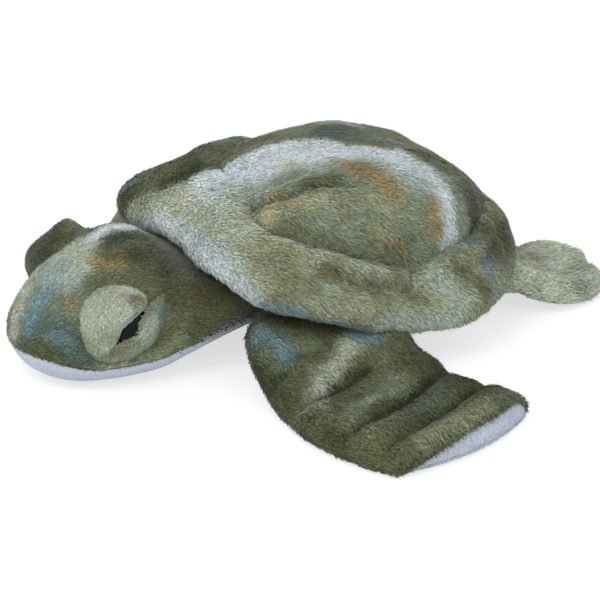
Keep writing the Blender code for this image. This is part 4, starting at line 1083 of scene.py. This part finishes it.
def headDye(points):
    return dyed(points, "olive", [
        ("sage", [(0, -232, 42), (16, -222, 47), (26, -208, 52)], 12, 0.85),
        ("mist", [(-14, -202, 65), (-8, -214, 57), (3, -206, 60)], 12, 0.85),
        ("cream", [(-28, -198, 66), (-14, -190, 70), (0, -196, 66)], 9.5, 0.85),
        ("cream", [(-2, -241, 30), (-14, -230, 43), (-32, -209, 57), (-44, -192, 64)], 8.5, 0.9),
        ("white", [(-18, -179, 74), (-20, -170, 76), (-21, -162, 77), (-24, -150, 76)], 7.2, 0.98),
        ("darkOlive", [(-4, -170, 75), (-10, -152, 74), (2, -144, 70)], 7.5, 0.98),
        ("darkOlive", [(12, -160, 71), (10, -138, 66), (26, -148, 65)], 10.5, 0.98),
        ("ochre", [(1, -188, 69), (9, -182, 69), (16, -175, 69)], 5.2, 0.9),
        ("brown", [(4, -180, 71), (14, -170, 70)], 5, 0.7),
        ("darkOlive", [(20, -132, 60), (34, -128, 56)], 9, 0.8),
        ("brown", [(47, -141, 50), (48, -125, 48), (40, -152, 57)], 10, 0.8),
        ("olive", [(53, -148, 41), (54, -160, 30)], 8, 0.6),
        ("blue", [(0, -224, 50), (6, -230, 44), (10, -236, 38)], 7.5, 0.9),
        ("teal", [(22, -225, 42), (33, -220, 36), (39, -216, 29)], 10, 0.8),
        ("blue", [(28, -226, 36), (34, -218, 33)], 5, 0.5),
        ("ochre", [(13, -213, 54), (24, -211, 50)], 4, 0.5),
        ("darkOlive", [(0, -241, 26), (14, -235, 22), (28, -226, 19), (41, -212, 18)], 3, 0.8),
        ("moss", [(46, -204, 18), (51, -185, 16), (54, -166, 22), (55, -153, 29)], 6, 0.75),
        ("sand", [(48, -200, 18), (52, -184, 17)], 3, 0.5),
    ], 110, 0.0030, darkClouds)


def headBends(piece):
    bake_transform(piece)


crown = headGrid(130, 150, True)
chin = headGrid(130, 90, False)
underCrown = crown.copy()
underCrown[..., 2] = np.minimum(crown[..., 2] - 0.0015, crown[..., 2] * 0.6 + 0.008)
underCrown[:, [0, -1]] = crown[:, [0, -1]]
crownPanel = paddedForm("headAndNeckTop", crown, underCrown, printed)
dress(crownPanel, headBends, headDye, towards(0.2, 1, -0.15), 101,
      ("head_crown_panel", "neck"), size=0.75)
underChin = chin.copy()
underChin[..., 2] = chin[..., 2] * 0.5 + 0.012
underChin[:, [0, -1]] = chin[:, [0, -1]]
chinPanel = paddedForm("chinAndThroat", underChin, chin, plainWhite)
dress(chinPanel, headBends, whiteDye, towards(0, 1, 0), 103, ("chin_panel", "head_filling"),
      white=True, cover=lambda p: (p[:, 2] > 0.001).astype(float))
print("head and neck made")


eye = {
    "place": (0.0438, -0.1869, 0.0455), "out": (0.833, -0.233, 0.502), "front": (-0.493, -0.724, 0.483),
    "middle": (-0.0012, -0.0066), "radius": 0.0135, "rise": 0.0088, "seat": -0.0006,
    # the opening's two edges from its upper rear corner to its lower corner, as (side, front, out)
    "upperEdge": [(0.0128, -0.0092, 0.0084), (0.0084, -0.0054, 0.0112), (0.0024, -0.0024, 0.0126),
                  (-0.0034, -0.0004, 0.0128), (-0.0084, 0.0000, 0.0116), (-0.0120, -0.0012, 0.0096),
                  (-0.0165, -0.0028, 0.0076), (-0.0225, 0.0000, 0.0050)],
    "lowerEdge": [(0.0132, -0.0096, 0.0080), (0.0080, -0.0144, 0.0078), (0.0032, -0.0160, 0.0076),
                  (-0.0030, -0.0158, 0.0074), (-0.0082, -0.0138, 0.0072), (-0.0126, -0.0100, 0.0070),
                  (-0.0170, -0.0036, 0.0064), (-0.0225, 0.0020, 0.0046)],
    # the lids' feet on the head, in the same order, as (side, front)
    "upperFoot": [(0.0168, -0.0108), (0.0212, -0.0060), (0.0228, 0.0026), (0.0200, 0.0124), (0.0142, 0.0205),
                  (0.0045, 0.0252), (-0.0055, 0.0252), (-0.0137, 0.0218), (-0.0205, 0.0164), (-0.0256, 0.0104),
                  (-0.0275, 0.0038)],
    "lowerFoot": [(0.0290, -0.0164), (0.0223, -0.0203), (0.0132, -0.0240), (0.0033, -0.0252), (-0.0048, -0.0241),
                  (-0.0131, -0.0203), (-0.0189, -0.0160), (-0.0262, -0.0060), (-0.0283, 0.0028), (-0.0261, 0.0090)],
    "upperBulge": 0.0078, "lowerBulge": 0.0034, "lidThickness": 0.0024, "baseSink": 0.0012, "rightRaised": 0.008,
    "rightFuller": 0.0065, "lidColumns": 90, "lidRows": 36, "rings": 26, "spokes": 72,
}


def eyeFrame(side):
    out = np.array(eye["out"]) / np.linalg.norm(eye["out"])
    front = np.array(eye["front"]) - out * np.dot(eye["front"], out)
    front /= np.linalg.norm(front)
    mirror = np.array([side, 1, 1])
    raised = np.array([0, 0, eye["rightRaised"] if side < 0 else 0])
    return np.array(eye["place"]) * mirror + raised, np.cross(front, out) * mirror, front * mirror, out * mirror


def fromEye(side, local):
    # the turtle's own coordinates of points given as (side, front, out) in the eye's frame
    place, across, front, out = eyeFrame(side)
    return place + local[..., :1] * across + local[..., 1:2] * front + local[..., 2:] * out


def onHead(spots, side):
    # how far out the head's own surface lies at (side, front) spots of the eye's frame
    place, across, front, out = eyeFrame(side)
    skin = crown.reshape(-1, 3) - place
    flat = np.stack([skin @ across, skin @ front], -1)
    near = (skin @ out > -0.03)
    flat, rise = flat[near], (skin @ out)[near]
    away = np.linalg.norm(spots[:, None] - flat[None], axis=-1)
    nearest = np.argpartition(away, 4, axis=1)[:, :4]
    weight = 1 / (np.take_along_axis(away, nearest, 1) + 1e-4)
    return (rise[nearest] * weight).sum(1) / weight.sum(1)


def lidGrid(edgeKeys, footKeys, bulge, side):
    # a lofted pad: from its foot on the head up to the opening's edge, puffed between, then back inside
    u = np.linspace(0, 1, eye["lidColumns"])
    base = splined(footKeys, u)
    foot = np.column_stack([base, onHead(base, side) - eye["baseSink"]])
    edge = splined(edgeKeys, u)
    v = closeAtEnds(eye["lidRows"])[:, None, None]
    ends = np.clip(np.minimum(u, 1 - u) * 9, 0.25, 1)[None, :, None]
    up = np.array([0, 0, 1.0])
    puff = (bulge + (eye["rightFuller"] if side < 0 else 0)) * np.sin(math.pi * v**0.85) ** 1.2 * ends
    upper = foot[None] * (1 - v) + edge[None] * v + puff * up
    lower = upper - up * (eye["lidThickness"] * np.clip(4 * v * (1 - v), 0, 1) ** 0.4)
    return fromEye(side, upper), fromEye(side, lower)


def lidDye(side, upper):
    def dye(points):
        p = points * np.array([side, 1, 1])
        if upper and side < 0:
            return dyed(p, "olive", [
                ("darkOlive", [(30, -226, 50), (40, -206, 66), (50, -182, 70)], 20, 0.9),
                ("ochre", [(50, -176, 78), (34, -192, 78)], 4, 0.7),
            ], 130, 0.003, darkClouds)
        if upper:
            return dyed(p, "cream", [
                ("moss", [(20, -226, 46), (36, -220, 40), (46, -212, 32)], 8, 0.8),
                ("sand", [(24, -208, 60), (34, -198, 64)], 6, 0.4),
                ("darkOlive", [(44, -180, 62), (50, -178, 58)], 4, 0.7),
                ("ochre", [(50, -176, 60), (48, -172, 58)], 3, 0.8),
            ], 130, 0.003, (("mist", 0.25), ("sage", 0.5), ("sand", 0.3)))
        return dyed(p, "sage", [
            ("cream", [(56, -166, 46), (60, -176, 34), (58, -188, 24), (50, -204, 20)], 6, 0.6),
            ("blue", [(49, -156, 60), (53, -160, 54), (55, -164, 48)], 5, 0.9),
            ("mist", [(50, -158, 62)], 3, 0.6),
            ("ochre", [(56, -174, 52), (60, -184, 40), (58, -194, 30)], 2.4, 0.8),
            ("olive", [(58, -164, 30), (54, -182, 18)], 4, 0.5),
        ], 133, 0.002)
    return dye


eyeGloss = {
    "colour": (0.004, 0.005, 0.004), "iris": (0.006, 0.075, 0.012), "irisFrom": 0.84, "irisTo": 0.95,
    "roughness": 0.08, "specular": 0.14,
}


def eyeMaterial():
    # polished black, with a thin green ring near its edge read from the radius share
    finish, nodes, links, shader = newMaterial("eyePlastic", {
        "Roughness": eyeGloss["roughness"], "Specular IOR Level": eyeGloss["specular"],
    })
    share = nodes.new("ShaderNodeAttribute")
    share.attribute_name = "radiusShare"
    ring = nodes.new("ShaderNodeValToRGB")
    ring.color_ramp.elements[0].position, ring.color_ramp.elements[1].position = 0.0, 1.0
    first, last = eyeGloss["irisFrom"], eyeGloss["irisTo"]
    for spot, name in ((first, "colour"), (first + 0.03, "iris"), (last, "iris"), (last + 0.02, "colour")):
        ring.color_ramp.elements.new(spot).color = (*eyeGloss[name], 1)
    for end in (0, -1):
        ring.color_ramp.elements[end].color = (*eyeGloss["colour"], 1)
    links.new(share.outputs["Fac"], ring.inputs[0])
    links.new(ring.outputs[0], shader.inputs["Base Color"])
    return finish


eyePlastic = eyeMaterial()


def makeEye(word, side):
    place, across, front, out = eyeFrame(side)
    # a shallow turned dome: radius sin, rise cos, closed by a flat back
    turn, around = np.linspace(0.02, math.pi / 2, eye["rings"]), circle(eye["spokes"])
    radius = (np.concatenate([np.sin(turn), [0.98, 0.6]]) * eye["radius"])[:, None]
    rise = np.concatenate([np.cos(turn) * eye["rise"] + eye["seat"], [-0.0012, -0.0014]])[:, None]
    local = np.stack([eye["middle"][0] + radius * np.cos(around), eye["middle"][1] + radius * np.sin(around),
                      np.broadcast_to(rise, (len(rise), len(around)))], -1)
    piece = joined(closedSurface(word + "Eye", fromEye(side, local), eyePlastic))
    spots = placesOf(piece.data) - place
    away = np.hypot(spots @ across - eye["middle"][0], spots @ front - eye["middle"][1])
    setAttribute(piece.data, "radiusShare", "FLOAT", away / eye["radius"])
    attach(piece, "head")
    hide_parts("eye_" + word)

    for upper, label in ((True, "upper"), (False, "lower")):
        outer, inner = lidGrid(eye[label + "Edge"], eye[label + "Foot"], eye[label + "Bulge"], side)
        lid = paddedForm(word + label.title() + "Eyelid", outer, inner, printed)
        node = label + "_eyelid_" + word
        lay = across * -0.7 + front * (-0.5 if upper else 0.6) - out * 0.2
        dress(lid, ridesOn("head"), lidDye(side, upper), towards(*lay),
              140 + side + 3 * upper, (node,), size=0.5, cover=clearOf(outer[-1], 0.0012))


for side, word in ((1, "left"), (-1, "right")):
    makeEye(word, side)
for node in ("eye_washer_left", "eye_washer_right"):
    finish, *_ = newMaterial("washerPlastic", {"Base Color": (0.75, 0.75, 0.72, 1), "Roughness": 0.45})
    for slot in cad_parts[node].material_slots:
        slot.material = finish
print("eyes made")
